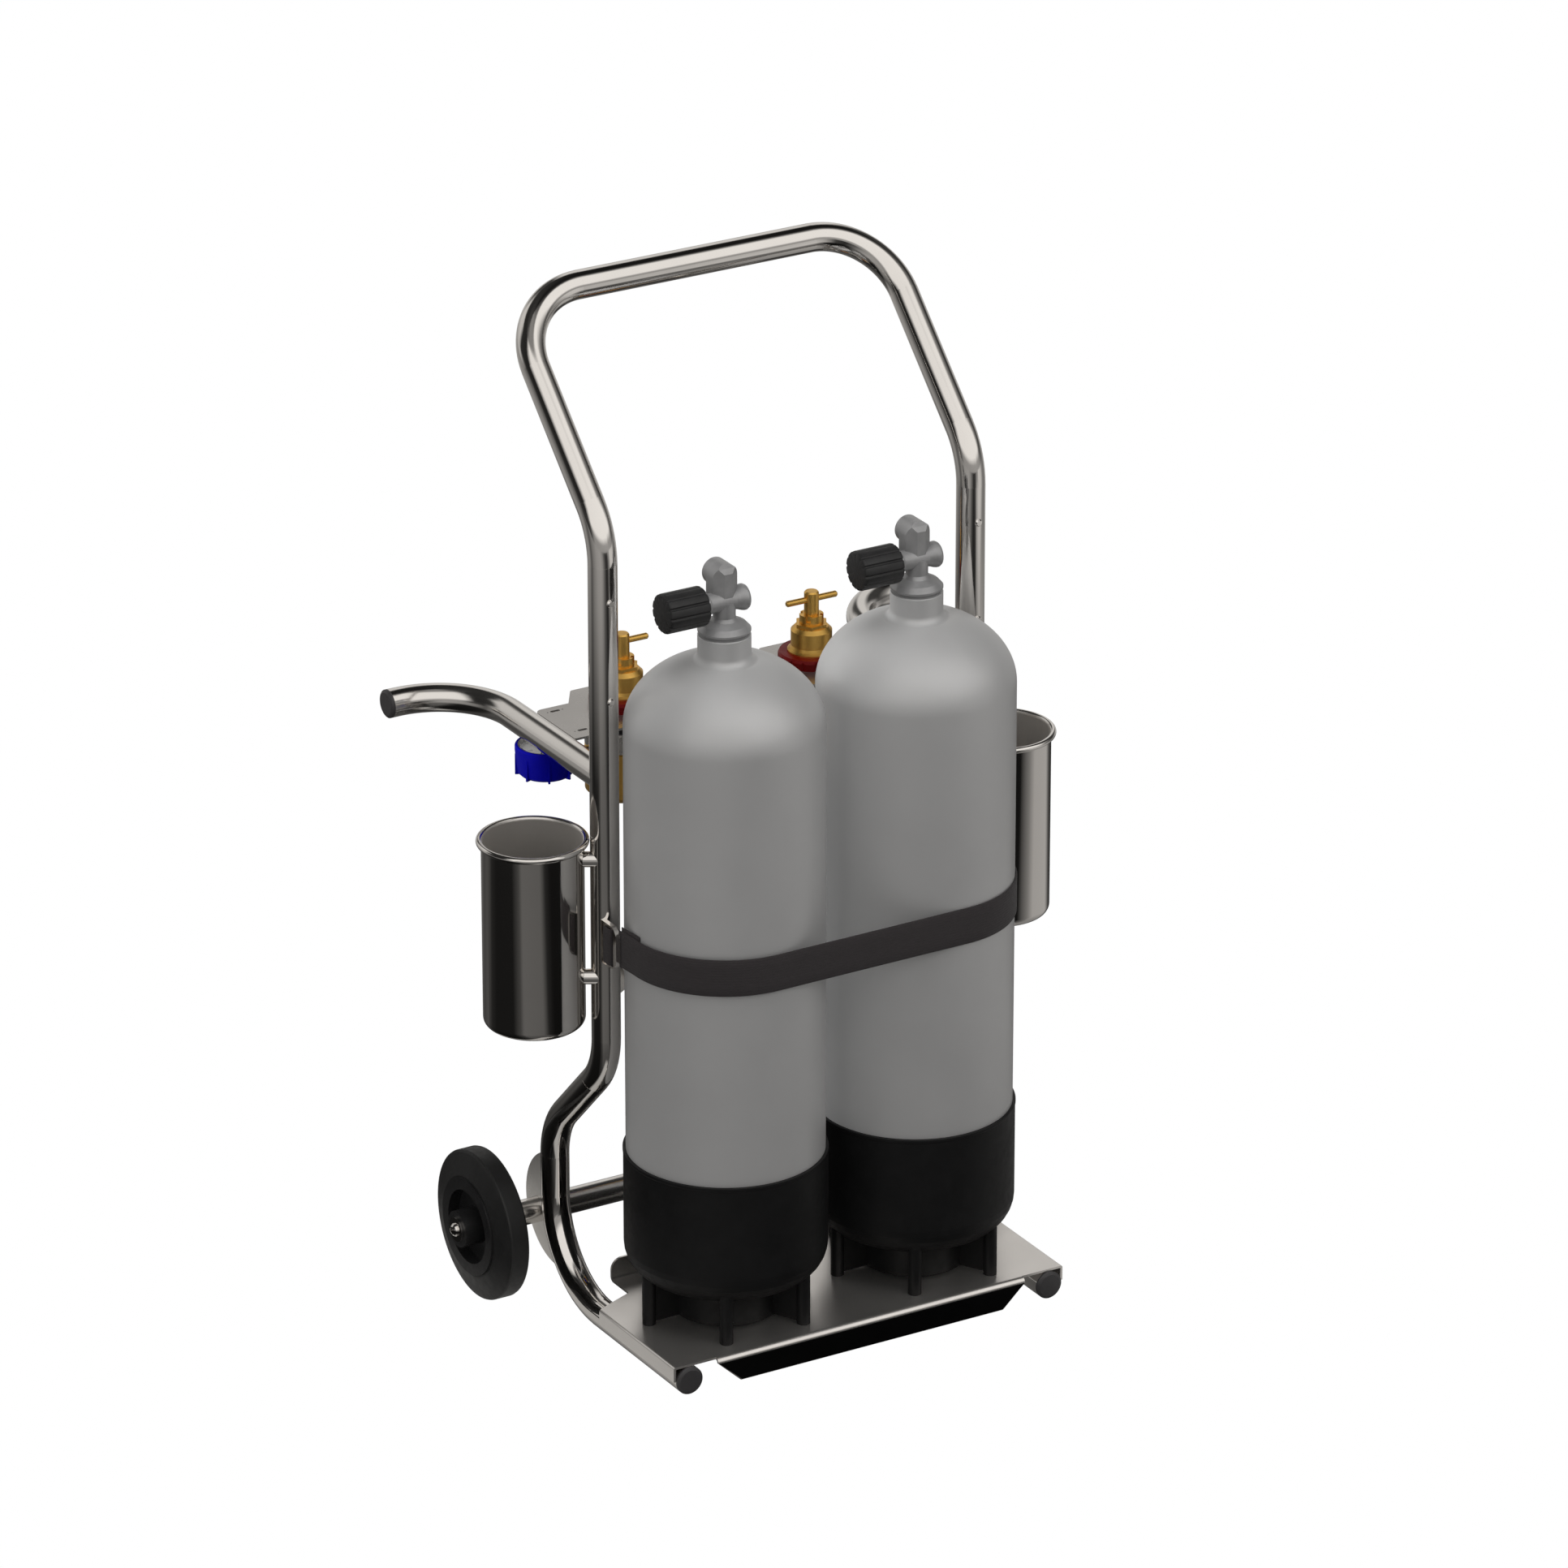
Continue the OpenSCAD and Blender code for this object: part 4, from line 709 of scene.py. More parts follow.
@dataclass(frozen=True)
class Strap:
    """Webbing strap round both cylinders, through a slot in each lug.

    Attributes:
        axis_x: Distance of each cylinder's axis from the middle.
        level: Height of the strap's middle.
        width: Width of the webbing.
        thick: Its thickness.
        radius: Radius of its middle line on the right cylinder.
        tail_thick: Thickness of the tail that lies inside on the left.
        tail_radius: Radius of the tail's middle line.
        tail_rise: Height of the tail above the strap.
        tail_ahead: Length of the tail in front of the cylinder's axis.
        lug_x: Inner face of a lug.
        lug_thick: Thickness of a lug.
        slot: Front and rear edge of a lug's slot.
        end_reach: Length of the end that lies on the lug's outside.
        gap: Gap that the strap keeps from what carries it.
        bend_share: Radius of the bends at the slot, as a share of the thickness.
        ease: How far the strap still is from the lug on its way to the slot.
        tail_short: Distance from the tail's end to the slot.
        tail_steps: Points on the curved and on the straight part of the tail.
        round_steps: Points round a quarter of a cylinder.
    """

    axis_x: float = 0.112
    level: float = 0.446
    width: float = 0.040
    thick: float = 0.002
    radius: float = 0.1033
    tail_thick: float = 0.0014
    tail_radius: float = 0.1030
    tail_rise: float = 0.004
    tail_ahead: float = 0.0065
    lug_x: float = 0.2206
    lug_thick: float = 0.005
    slot: tuple[float, float] = (0.028764, 0.035764)
    end_reach: float = 0.0155
    gap: float = 0.0003
    bend_share: float = 0.6
    ease: float = 0.0012
    tail_short: float = 0.004
    tail_steps: tuple[int, int] = (5, 6)
    round_steps: int = 40

    def dress(self, finishes: Finishes) -> None:
        """Replaces the stiff CAD solids with webbing.

        Args:
            finishes: The finishes to use.
        """
        left, right = self.half(Side.LEFT), self.half(Side.RIGHT)
        path = list(reversed(left)) + right
        strap = ribbon("strap_webbing", path, self.level, self.width, self.thick)
        finishes.dress(strap, STRAP)
        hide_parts("strap", "strap_tail")
        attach(strap, Body.FRAME.value)
        tail_path = self.tail()
        tail = ribbon(
            "strap_fold", tail_path, self.level + self.tail_rise, self.width, self.tail_thick
        )
        finishes.dress(tail, STRAP)
        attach(tail, Body.FRAME.value)
        log.info("strap %.4f m, its fold %.4f m", length_of(path), length_of(tail_path))

    def tail(self) -> list[Vector]:
        """Middle line of the end that comes back inside the strap on the left.

        Returns:
            Its points, at floor level.
        """
        turn = math.degrees(self.tail_ahead / self.tail_radius)
        rear = self.slot[0] - self.tail_short
        curved, straight = self.tail_steps
        ahead = arc(Vector((self.axis_x, 0.0, 0.0)), self.tail_radius, -turn, 0.0, curved)
        inner = self.lug_x - 2 * self.gap - self.thick - self.tail_thick / 2
        back = Vector((inner, rear, 0.0))
        steps = [ahead[-1].lerp(back, i / straight) for i in range(1, straight + 1)]
        return [Vector((-p.x, p.y + SHIFT_Y, 0.0)) for p in ahead + steps]

    def half(self, side: Side) -> list[Vector]:
        """Middle line from the front of one cylinder to the strap's end on its lug.

        Args:
            side: The side that it goes round.

        Returns:
            Its points, at floor level.
        """
        extra = self.tail_thick + self.gap if side is Side.LEFT else 0.0
        radius = self.radius + extra
        inner = self.lug_x - self.gap - self.thick / 2
        outer = self.lug_x + self.lug_thick + self.gap + self.thick / 2
        front, rear = self.slot
        bend = self.bend_share * self.thick
        axis = Vector((self.axis_x, 0.0, 0.0))
        plan = [(p.x, p.y) for p in arc(axis, radius, -90.0, 0.0, self.round_steps)]
        through = (front + rear) / 2
        # To the lug and along its inner face.
        plan += [
            (inner - self.ease, 0.6 * front), (inner, front - bend), (inner, through - 2 * bend),
        ]
        # Out through the slot, with a rounded bend at each face.
        plan += [
            (inner + 0.3 * bend, through - 0.7 * bend), (inner + bend, through),
            ((inner + outer) / 2, through + 0.2 * bend), (outer - bend, through + 0.4 * bend),
            (outer - 0.3 * bend, through + bend), (outer, through + 2.2 * bend),
        ]
        # Back along the outer face.
        plan += [(outer, rear + share * self.end_reach) for share in (0.2, 0.6)]
        return [Vector((side.value * x, y + SHIFT_Y, 0.0)) for x, y in plan]


@dataclass(frozen=True)
class DialMarks:
    """Generic scale of one gauge: ticks and plain numbers.

    Attributes:
        side: Which of the two gauges it is on.
        axis: Place of the regulators' axes in plan.
        reach: Distance from the regulator's axis to the dial's middle.
        level: Height of the dial's face.
        radius: Radius of the dial.
        ticks: Number of ticks.
        sweep: Angle of the whole scale in degrees.
        start: Angle of its first tick in degrees.
        major: A longer tick with a number stands at every one of this many.
        unit: What one tick counts.
        tick_low: Where a long and a short tick begin, as shares of the radius.
        tick_high: Where all of them end.
        tick_half: Half the width of a long and of a short tick.
        figure: Size of the numbers.
        figure_share: Distance of the numbers from the middle, as a share of the radius.
        ink: Half the thickness of all marks.
    """

    side: Side
    axis: tuple[float, float] = (0.112, 0.207)
    reach: float = 0.090
    level: float = 0.59501
    radius: float = 0.0262
    ticks: int = 26
    sweep: float = 270.0
    start: float = 225.0
    major: int = 5
    unit: int = 2
    tick_low: tuple[float, float] = (0.80, 0.88)
    tick_high: float = 0.96
    tick_half: tuple[float, float] = (0.00035, 0.0002)
    figure: float = 0.0048
    figure_share: float = 0.62
    ink: float = 0.00003

    def dress(self, finishes: Finishes) -> None:
        """Adds the scale on top of the dial.

        Args:
            finishes: The finishes to use.
        """
        mesh = bmesh.new()
        middle = Vector((
            self.side.value * self.axis[0] - self.reach, self.axis[1] + SHIFT_Y, self.level
        ))
        for i in range(self.ticks):
            angle = self.angle(i)
            out = Vector((math.cos(angle), math.sin(angle), 0.0))
            side = Vector((-out.y, out.x, 0.0))
            kind = 0 if i % self.major == 0 else 1
            low, high = self.tick_low[kind] * self.radius, self.tick_high * self.radius
            self.plate(
                mesh, middle + out * low, middle + out * high, side * self.tick_half[kind]
            )
        ticks = mesh_object(f"dial_ticks_{self.side.word}", mesh)
        finishes.dress(ticks, INK)
        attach(ticks, Body.FRAME.value)
        for i in range(0, self.ticks, self.major):
            self.number(finishes, middle, i)

    def angle(self, index: int) -> float:
        """Direction of one tick in radians."""
        return math.radians(self.start - self.sweep * index / (self.ticks - 1))

    def plate(self, mesh: bmesh.types.BMesh, low: Vector, high: Vector, half: Vector) -> None:
        """Adds a thin raised bar between two points.

        Args:
            mesh: The mesh that it goes into.
            low: The middle of its inner end.
            high: The middle of its outer end.
            half: Half its width, across it.
        """
        up = Vector((0.0, 0.0, 2 * self.ink))
        ring = [low - half, low + half, high + half, high - half]
        bottom = [mesh.verts.new(p) for p in ring]
        top = [mesh.verts.new(p + up) for p in ring]
        mesh.faces.new(list(reversed(bottom)))
        mesh.faces.new(top)
        for i in range(4):
            j = (i + 1) % 4
            mesh.faces.new((bottom[i], bottom[j], top[j], top[i]))

    def number(self, finishes: Finishes, middle: Vector, index: int) -> None:
        """Adds one number inside the ring of ticks.

        Args:
            finishes: The finishes to use.
            middle: The middle of the dial.
            index: The tick that it stands at.
        """
        curve = bpy.data.curves.new(f"dial_number_{self.side.word}_{index}", "FONT")
        curve.body = str(index * self.unit)
        curve.size = self.figure
        curve.align_x = "CENTER"
        curve.align_y = "CENTER"
        curve.extrude = self.ink
        text = bpy.data.objects.new(curve.name, curve)
        angle, reach = self.angle(index), self.figure_share * self.radius
        text.location = middle + Vector(
            (reach * math.cos(angle), reach * math.sin(angle), self.ink)
        )
        bpy.context.scene.collection.objects.link(text)
        finishes.dress(text, INK)
        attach(text, Body.FRAME.value)


@dataclass(frozen=True)
class TubeFrame:
    """Bent stainless frame, its caps, axle and sheet parts, and the steel set in other parts.

    Attributes:
        cup_bottom: Height of a cup's bottom outside, up to which it is polished inside too.
    """

    cup_bottom: float = 0.012

    def dress(self, finishes: Finishes) -> None:
        """Puts the finishes on the frame's nodes.

        Args:
            finishes: The finishes to use.
        """
        finishes.put(
            STAINLESS, "side_frame_left", "side_frame_right", "push_handle", "axle_stubs",
            "cup_studs", "strap_lugs", "frame_screws", "back_rest", "wheel_washers",
            "wheel_bolts", "spindle_left", "spindle_right", "button_left", "button_right",
        )
        finishes.put(BENT, "arm_left", "arm_right")
        finishes.put(SATIN, "gussets")
        finishes.put(DRAWN, "axle_tube")
        for side in Side:
            low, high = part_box(f"cup_{side.word}")
            axis = ((low[0] + high[0]) / 2, (low[1] + high[1]) / 2)
            steel = CupSteel(
                f"cup_steel_{side.word}", STEEL_COLOUR, metallic=1.0, roughness=0.085,
                mottle=0.02, mottle_scale=14.0, smudge=0.02, grain=0.000003, grain_scale=700.0,
                axis=axis, floor=low[2] + self.cup_bottom,
            )
            finishes.put(steel, f"cup_{side.word}")
        finishes.put(SHEET, "base_plate")
        finishes.put(SHELF, "shelf_plate")
        finishes.put(CAP, "foot_caps", "arm_caps")
        finishes.put(PANEL, "label_plate")


@dataclass(frozen=True)
class Wheel:
    """One solid-tyred wheel.

    Attributes:
        side: Which of the two it is.
    """

    side: Side

    def dress(self, finishes: Finishes) -> None:
        """Puts the finishes on the wheel's nodes."""
        finishes.put(HUB, f"wheel_{self.side.word}")
        finishes.put(TYRE, f"tyre_{self.side.word}")


@dataclass(frozen=True)
class GasCylinder:
    """One painted cylinder with its boot, valve and knob.

    Attributes:
        side: Which of the two it is.
        axis_x: Distance of its axis from the middle.
        foot: Height of the lowest point of its base.
        radius: Outside radius.
        wall: Thickness of its wall.
        height: From the base to the top of the neck.
        base: Height of the domed base.
        shoulder: Height of the domed shoulder.
        neck: Radius and height of the neck.
        fillet: Radius of the hollow under the neck.
        fillet_start: Angle in degrees where the hollow leaves the shoulder.
        bore: Radius of the neck's bore.
        bevel: Bevel of the neck's rim.
        pole: Angle in degrees at which the base stops, just short of the axis.
        dome_steps: Points on the domed base and on each inside dome.
        shoulder_steps: Points on the shoulder.
        fillet_steps: Points on the hollow.
        facets: Points round the turn.
    """

    side: Side
    axis_x: float = 0.112
    foot: float = 0.0769
    radius: float = 0.102
    wall: float = 0.004
    height: float = 0.699
    base: float = 0.044
    shoulder: float = 0.076
    neck: tuple[float, float] = (0.027, 0.023)
    fillet: float = 0.009
    fillet_start: float = 260.0
    bore: float = 0.0125
    bevel: float = 0.0006
    pole: float = -89.7
    dome_steps: int = 24
    shoulder_steps: int = 40
    fillet_steps: int = 12
    facets: int = 144

    def profile(self) -> list[tuple[float, float]]:
        """Section of the shell, the CAD solid's with finer domes.

        Returns:
            Radius and height of its points.
        """
        neck_r, neck_h = self.neck
        crown = self.height - neck_h - self.shoulder
        start = math.degrees(math.acos((neck_r + self.fillet) / self.radius))
        hollow_z = crown + self.shoulder * math.sin(math.radians(start)) + self.fillet
        inner = self.radius - self.wall
        inner_start = math.degrees(math.acos(self.bore / inner))
        wall, dome = self.wall, self.dome_steps
        hollow = ellipse(
            self.fillet, self.fillet, self.fillet_start, 180.0, hollow_z, self.fillet_steps
        )
        section = ellipse(self.radius, self.base, self.pole, 0.0, self.base, dome)
        section += ellipse(self.radius, self.shoulder, 0.0, start, crown, self.shoulder_steps)
        section += [(neck_r + self.fillet + r, z) for r, z in hollow]
        section += [(neck_r, self.height - self.bevel), (neck_r - self.bevel, self.height)]
        section += [(self.bore, self.height)]
        section += ellipse(inner, self.shoulder - wall, inner_start, 0.0, crown, dome)
        section += ellipse(inner, self.base - wall, 0.0, self.pole, self.base, dome)
        return section

    def dress(self, finishes: Finishes) -> None:
        """Puts the finishes on the cylinder's nodes, round a finer shell.

        Args:
            finishes: The finishes to use.
        """
        word = self.side.word
        place = Matrix.Translation((self.side.value * self.axis_x, SHIFT_Y, self.foot))
        shell = revolve(self.profile(), place, self.facets)
        paint = mesh_object(f"painted_shell_{word}", shell)
        finishes.dress(paint, PAINT)
        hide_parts(f"shell_{word}")
        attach(paint, f"{word}_cylinder")
        finishes.put(BOOT, f"boot_{word}")
        finishes.put(CAST, f"valve_{word}")
        ValveKnob(self.side).dress(finishes)


@dataclass(frozen=True)
class ValveKnob:
    """Deeply fluted hand knob of one cylinder valve.

    Attributes:
        side: Which of the two it is.
        radius: Outside radius.
        edge: Radius of its rounded edges.
        flutes: Number of flutes.
        flute_depth: Depth of a flute.
        flute_share: Share of the pitch from a flute's middle to its lip.
        steps: Points round one flute and rib.
        bore: Radius and depth of the bore for the spindle.
        pole: Radius at which the section stops, just short of the axis.
        sharp_deg: Edges sharper than this stay sharp.
    """

    side: Side
    radius: float = 0.0205
    edge: float = 0.0025
    flutes: int = 12
    flute_depth: float = 0.0016
    flute_share: float = 0.17
    steps: int = 18
    bore: tuple[float, float] = (0.0043, 0.0237)
    pole: float = 0.0002
    sharp_deg: float = 32.0

    def dress(self, finishes: Finishes) -> None:
        """Replaces the CAD knob with a finer one on the same axis.

        Args:
            finishes: The finishes to use.
        """
        word = self.side.word
        low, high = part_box(f"knob_{word}")
        length = high[0] - low[0]
        axis_y, axis_z = (low[1] + high[1]) / 2, (low[2] + high[2]) / 2
        mesh = bmesh.new()
        count = self.flutes * self.steps
        section = self.section(length)
        rings = []
        for i in range(count):
            turn = math.tau * i / count
            out_y, out_z = math.cos(turn), math.sin(turn)
            cut = self.cut(i % self.steps / self.steps)
            ring = []
            for radius, along, fluted in section:
                reach = radius - cut if fluted else radius
                point = (high[0] - along, axis_y + reach * out_y, axis_z + reach * out_z)
                ring.append(mesh.verts.new(point))
            rings.append(ring)
        close_turn(mesh, rings)
        knob = mesh_object(f"fluted_knob_{word}", mesh, self.sharp_deg)
        finishes.dress(knob, KNOB)
        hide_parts(f"knob_{word}")
        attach(knob, f"{word}_knob")

    def cut(self, share: float) -> float:
        """Depth of the flute at this share of the pitch from its middle."""
        off = min(share, 1.0 - share) / self.flute_share
        return self.flute_depth * max(0.0, 1.0 - off * off)

    def section(self, length: float) -> list[tuple[float, float, bool]]:
        """Closed half section.

        Args:
            length: Length of the knob.

        Returns:
            Radius, distance from the valve's side, and whether the flutes cut it.
        """
        bore_r, bore_h = self.bore
        near, far = self.edge, length - self.edge
        flat = self.radius - self.edge
        points = [(bore_r, 0.0, False), (flat, 0.0, True)]
        for along, angles in ((near, (-60.0, -30.0, 0.0)), (far, (0.0, 30.0, 60.0, 90.0))):
            for a in map(math.radians, angles):
                point = (flat + self.edge * math.cos(a), along + self.edge * math.sin(a), True)
                points.append(point)
        points += [(self.pole, length, False), (self.pole, bore_h, False)]
        points += [(bore_r, bore_h, False)]
        return points


@dataclass(frozen=True)
class Regulator:
    """One panel-mounted regulator with its gauge.

    Attributes:
        side: Which of the two it is.
    """

    side: Side

    def dress(self, finishes: Finishes) -> None:
        """Puts the finishes on the regulator's own moving nodes.

        Args:
            finishes: The finishes to use.
        """
        word = self.side.word
        finishes.put(BRASS, f"screw_{word}", f"cross_bar_{word}")
        finishes.put(INK, f"pointer_{word}")


@dataclass(frozen=True)
class RegulatorPanel:
    """Both regulators, with the pieces that they share as nodes.

    Attributes:
        regulators: The two of them.
    """

    regulators: tuple[Regulator, ...] = tuple(Regulator(side) for side in Side)

    def dress(self, finishes: Finishes) -> None:
        """Puts the finishes on both regulators.

        Args:
            finishes: The finishes to use.
        """
        for regulator in self.regulators:
            regulator.dress(finishes)
        finishes.put(BRASS, "bonnets", "brass_bodies", "gauge_stems")
        finishes.put(RED, "panel_rings")
        finishes.put(SEAL, "seal_rings")
        finishes.put(STEEL, "steel_bodies", "gauge_cases")
        finishes.put(BLUE, "gauge_boots")
        finishes.put(DIAL, "gauge_dials")
        finishes.put(LENS, "gauge_lenses")


# Studio


@dataclass(frozen=True)
class PhotoCamera:
    """Camera fitted to the photograph.

    Attributes:
        azimuth_deg: Turn of the view from +Y, positive towards +X.
        elevation_deg: Height of the camera over the horizon.
        focal_px: Focal length in pixels of the photograph.
        frame_px: Width of the photograph.
        target: Point whose place in the photograph is known.
        target_px: That place, from the top left.
        distance: Depth of that point from the camera.
        sensor_mm: Width of the sensor.
        clip: Farthest depth that is seen.
    """

    azimuth_deg: float = -30.564
    elevation_deg: float = 23.270
    focal_px: float = 11567.7
    frame_px: float = 1932.0
    target: Point = (0.0, SHIFT_Y, 0.5)
    target_px: tuple[float, float] = (1011.054, 1064.507)
    distance: float = 9.504083
    sensor_mm: float = 36.0
    clip: float = 100.0

    def build(self) -> None:
        """Makes the camera and sets it as the scene's own."""
        a, e = math.radians(self.azimuth_deg), math.radians(self.elevation_deg)
        back = Vector((math.sin(a) * math.cos(e), -math.cos(a) * math.cos(e), math.sin(e)))
        right = Vector((math.cos(a), math.sin(a), 0.0))
        up = back.cross(right)
        step = self.distance / self.focal_px
        middle = self.frame_px / 2
        place = (
            Vector(self.target)
            + back * self.distance
            - right * (self.target_px[0] - middle) * step
            + up * (self.target_px[1] - middle) * step
        )
        data = bpy.data.cameras.new("photo_camera")
        data.sensor_width = self.sensor_mm
        data.lens = self.focal_px / self.frame_px * data.sensor_width
        data.clip_end = self.clip
        camera = bpy.data.objects.new("photo_camera", data)
        camera.matrix_world = Matrix(
            [(right[i], up[i], back[i], place[i]) for i in range(3)] + [(0, 0, 0, 1)]
        )
        bpy.context.scene.collection.objects.link(camera)
        bpy.context.scene.camera = camera


@dataclass(frozen=True)
class Lamp:
    """A soft square light.

    Attributes:
        name: Name of the light.
        place: Where it stands.
        aim: Point that it faces.
        watts: Its power.
        side: Its width and height.
        shadow: Whether things cast a shadow in it.
        only: Name of the one piece that it lights, or nothing for all.
    """

    name: str
    place: Point
    aim: Point
    watts: float
    side: float = 1.6
    shadow: bool = True
    only: str = ""

    def build(self) -> None:
        """Adds the light to the scene, unseen in reflections."""
        data = bpy.data.lights.new(self.name, "AREA")
        data.shape = "RECTANGLE"
        data.size = data.size_y = self.side
        data.energy = self.watts
        data.use_shadow = self.shadow
        lamp = bpy.data.objects.new(self.name, data)
        lamp.location = self.place
        aim = Vector(self.aim) - Vector(self.place)
        lamp.rotation_euler = aim.to_track_quat("-Z", "Y").to_euler()
        lamp.visible_glossy = False
        bpy.context.scene.collection.objects.link(lamp)
        if self.only:
            lit = bpy.data.collections.new(f"{self.name}_lit")
            lit.objects.link(bpy.data.objects[self.only])
            lamp.light_linking.receiver_collection = lit


@dataclass(frozen=True)
class Studio:
    """White backdrop and floor, soft lights, and the room that polished steel mirrors.

    Bands are pairs of a place and a grey. The place is a turn round the object, with 0.5 to the
    front, 0.75 to the right and the rear at both ends, or else a distance or a height.

    Attributes:
        lamps: The lights.
        floor_half: Half the width of the floor.
        floor_level: Its height, a hair under the wheels.
        floor_colour: Its colour for dull surfaces.
        floor_roughness: Its roughness for them.
        floor_near: Painted reflection bands that a mirror sees on the floor near the object, by
            turn; their dark parts are painted shadow.
        floor_far: Painted reflection bands that it sees far from the object, by turn.
        floor_unit: Distance from the object that counts as 1 in the next two.
        floor_blend: Share of the far bands, by distance.
        floor_gain: Brightness of both, by distance, dimmer near the object as painted shadow.
        beside_x: Weight of a plain painted reflection patch on either side of the object, by
            distance across.
        beside_y: Weight of the patch, by distance to the front and to the rear.
        beside_colour: Colour of the painted reflection patch.
        horizon: Bands of the walls at the horizon, by turn.
        walls: Bands further up by turn, each after the two heights between which it comes in.
        soft: Grey of the walls for dull surfaces, by height: 0.5 is the horizon, 1 is overhead.
    """

    lamps: tuple[Lamp, ...] = (
        Lamp("key", place=(0.9, -2.6, 2.6), aim=(0.0, -0.1, 0.6), watts=40.0),
        Lamp("top", place=(-0.3, -0.5, 3.0), aim=(0.0, -0.1, 0.8), watts=40.0),
        Lamp("side", place=(-2.2, 1.0, 1.2), aim=(0.0, 0.0, 0.5), watts=16.0, shadow=False),
        Lamp("fill", place=(-2.8, -1.6, 1.6), aim=(0.0, -0.1, 0.5), watts=14.0),
        Lamp("gap", place=(-2.0, 2.4, 1.0), aim=(0.1, -0.1, 0.4), watts=90.0, side=1.4,
             shadow=False, only="painted_shell_right"),
        Lamp("rim", place=(-0.8, 2.6, 1.6), aim=(0.0, 0.0, 0.5), watts=26.0, side=1.4),
    )
    floor_half: float = 30.0
    floor_level: float = -0.0005
    floor_colour: Colour = (0.5, 0.5, 0.5)
    floor_roughness: float = 0.9
    floor_near: Bands = (
        (0.00, 0.15), (0.03, 0.11), (0.07, 0.06), (0.12, 0.08), (0.155, 0.02), (0.19, 0.010),
        (0.285, 0.010), (0.32, 0.06), (0.335, 0.125), (0.43, 0.115), (0.458, 0.02),
        (0.49, 0.007), (0.57, 0.007), (0.595, 0.10), (0.625, 0.20), (0.66, 0.40),
        (0.755, 0.42), (0.79, 0.08), (0.83, 0.02), (0.88, 0.12), (1.00, 0.15),
    )
    floor_far: Bands = (
        (0.00, 0.40), (0.08, 0.32), (0.135, 0.26), (0.186, 0.09), (0.23, 0.20),
        (0.308, 0.32), (0.38, 0.36), (0.415, 0.28), (0.45, 0.12), (0.486, 0.025),
        (0.522, 0.05), (0.56, 0.42), (0.60, 0.62), (0.644, 0.60), (0.694, 0.25),
        (0.75, 0.16), (0.82, 0.45), (0.90, 0.60), (1.00, 0.50),
    )
    floor_unit: float = 5.0
    floor_blend: Bands = ((0.33, 0.0), (0.46, 1.0))
    floor_gain: Bands = ((0.03, 0.45), (0.12, 0.65), (0.20, 1.0))
    beside_x: Bands = ((0.22, 0.0), (0.24, 1.0), (0.32, 1.0), (0.36, 0.0))
    beside_y: Bands = ((0.29, 1.0), (0.35, 0.0))
    beside_colour: Colour = (0.42, 0.41, 0.395)
    horizon: Bands = (
        (0.00, 0.50), (0.12, 0.50), (0.17, 0.16), (0.20, 0.03), (0.26, 0.05), (0.31, 0.30),
        (0.57, 0.36), (0.66, 0.30), (0.70, 0.12), (0.77, 0.06), (0.83, 0.50), (1.00, 0.50),
    )
    walls: tuple[tuple[float, float, Bands], ...] = (
        (0.56, 0.63, (
            (0.00, 0.15), (0.03, 0.65), (0.10, 0.60), (0.14, 0.03), (0.25, 0.015), (0.295, 0.90),
            (0.665, 0.95), (0.71, 0.25), (0.76, 0.04), (0.85, 0.05), (0.885, 0.68), (0.935, 0.68),
            (0.955, 0.06), (0.985, 0.06), (1.00, 0.15),
        )),
        (0.80, 0.85, (
            (0.00, 0.03), (0.24, 0.02), (0.30, 0.90), (0.66, 0.95), (0.71, 0.15), (0.76, 0.01),
            (0.85, 0.01), (1.00, 0.03),
        )),
        (0.945, 0.97, (
            (0.00, 0.03), (0.20, 0.05), (0.35, 0.25), (0.58, 0.25), (0.68, 0.05), (0.76, 0.012),
            (0.86, 0.012), (1.00, 0.03),
        )),
    )
    soft: Bands = ((0.45, 0.25), (0.55, 0.42), (1.00, 0.85))

    def build(self) -> None:
        """Builds floor, lights and surroundings."""
        for lamp in self.lamps:
            lamp.build()
        self.floor()
        self.surroundings()
        view = bpy.context.scene.view_settings
        view.view_transform = "Standard"
        view.look = "None"

    def floor(self) -> None:
        """A pale floor: white to the eye; in mirrors a painted reflection, with painted shadow
        near the object.
        """
        mesh = bmesh.new()
        bmesh.ops.create_grid(mesh, x_segments=2, y_segments=2, size=self.floor_half)
        floor = mesh_object("floor", mesh)
        floor.location.z = self.floor_level
        mat = bpy.data.materials.new("floor_white")
        mat.use_nodes = True
        tree = NodeTree(mat.node_tree)
        shader = tree.find("ShaderNodeBsdfPrincipled")
        shader.inputs["Base Color"].default_value = (*self.floor_colour, 1.0)
        shader.inputs["Roughness"].default_value = self.floor_roughness
        path = tree.add("ShaderNodeLightPath")
        to_eye, to_mirror = path.outputs["Is Camera Ray"], path.outputs["Is Glossy Ray"]
        # The floor glows: plain white for the camera, and painted reflection bands for glossy
        # rays.
        glow = tree.add("ShaderNodeEmission")
        tree.link(self.mixed(tree, to_eye, self.floor_bands(tree), WHITE), glow.inputs["Color"])
        mix = tree.add("ShaderNodeMixShader")
        tree.link(tree.math("MAXIMUM", to_eye, to_mirror), mix.inputs["Fac"])
        tree.link(shader.outputs["BSDF"], mix.inputs[1])
        tree.link(glow.outputs["Emission"], mix.inputs[2])
        tree.link(mix.outputs["Shader"], tree.find("ShaderNodeOutputMaterial").inputs["Surface"])
        floor.data.materials.append(mat)

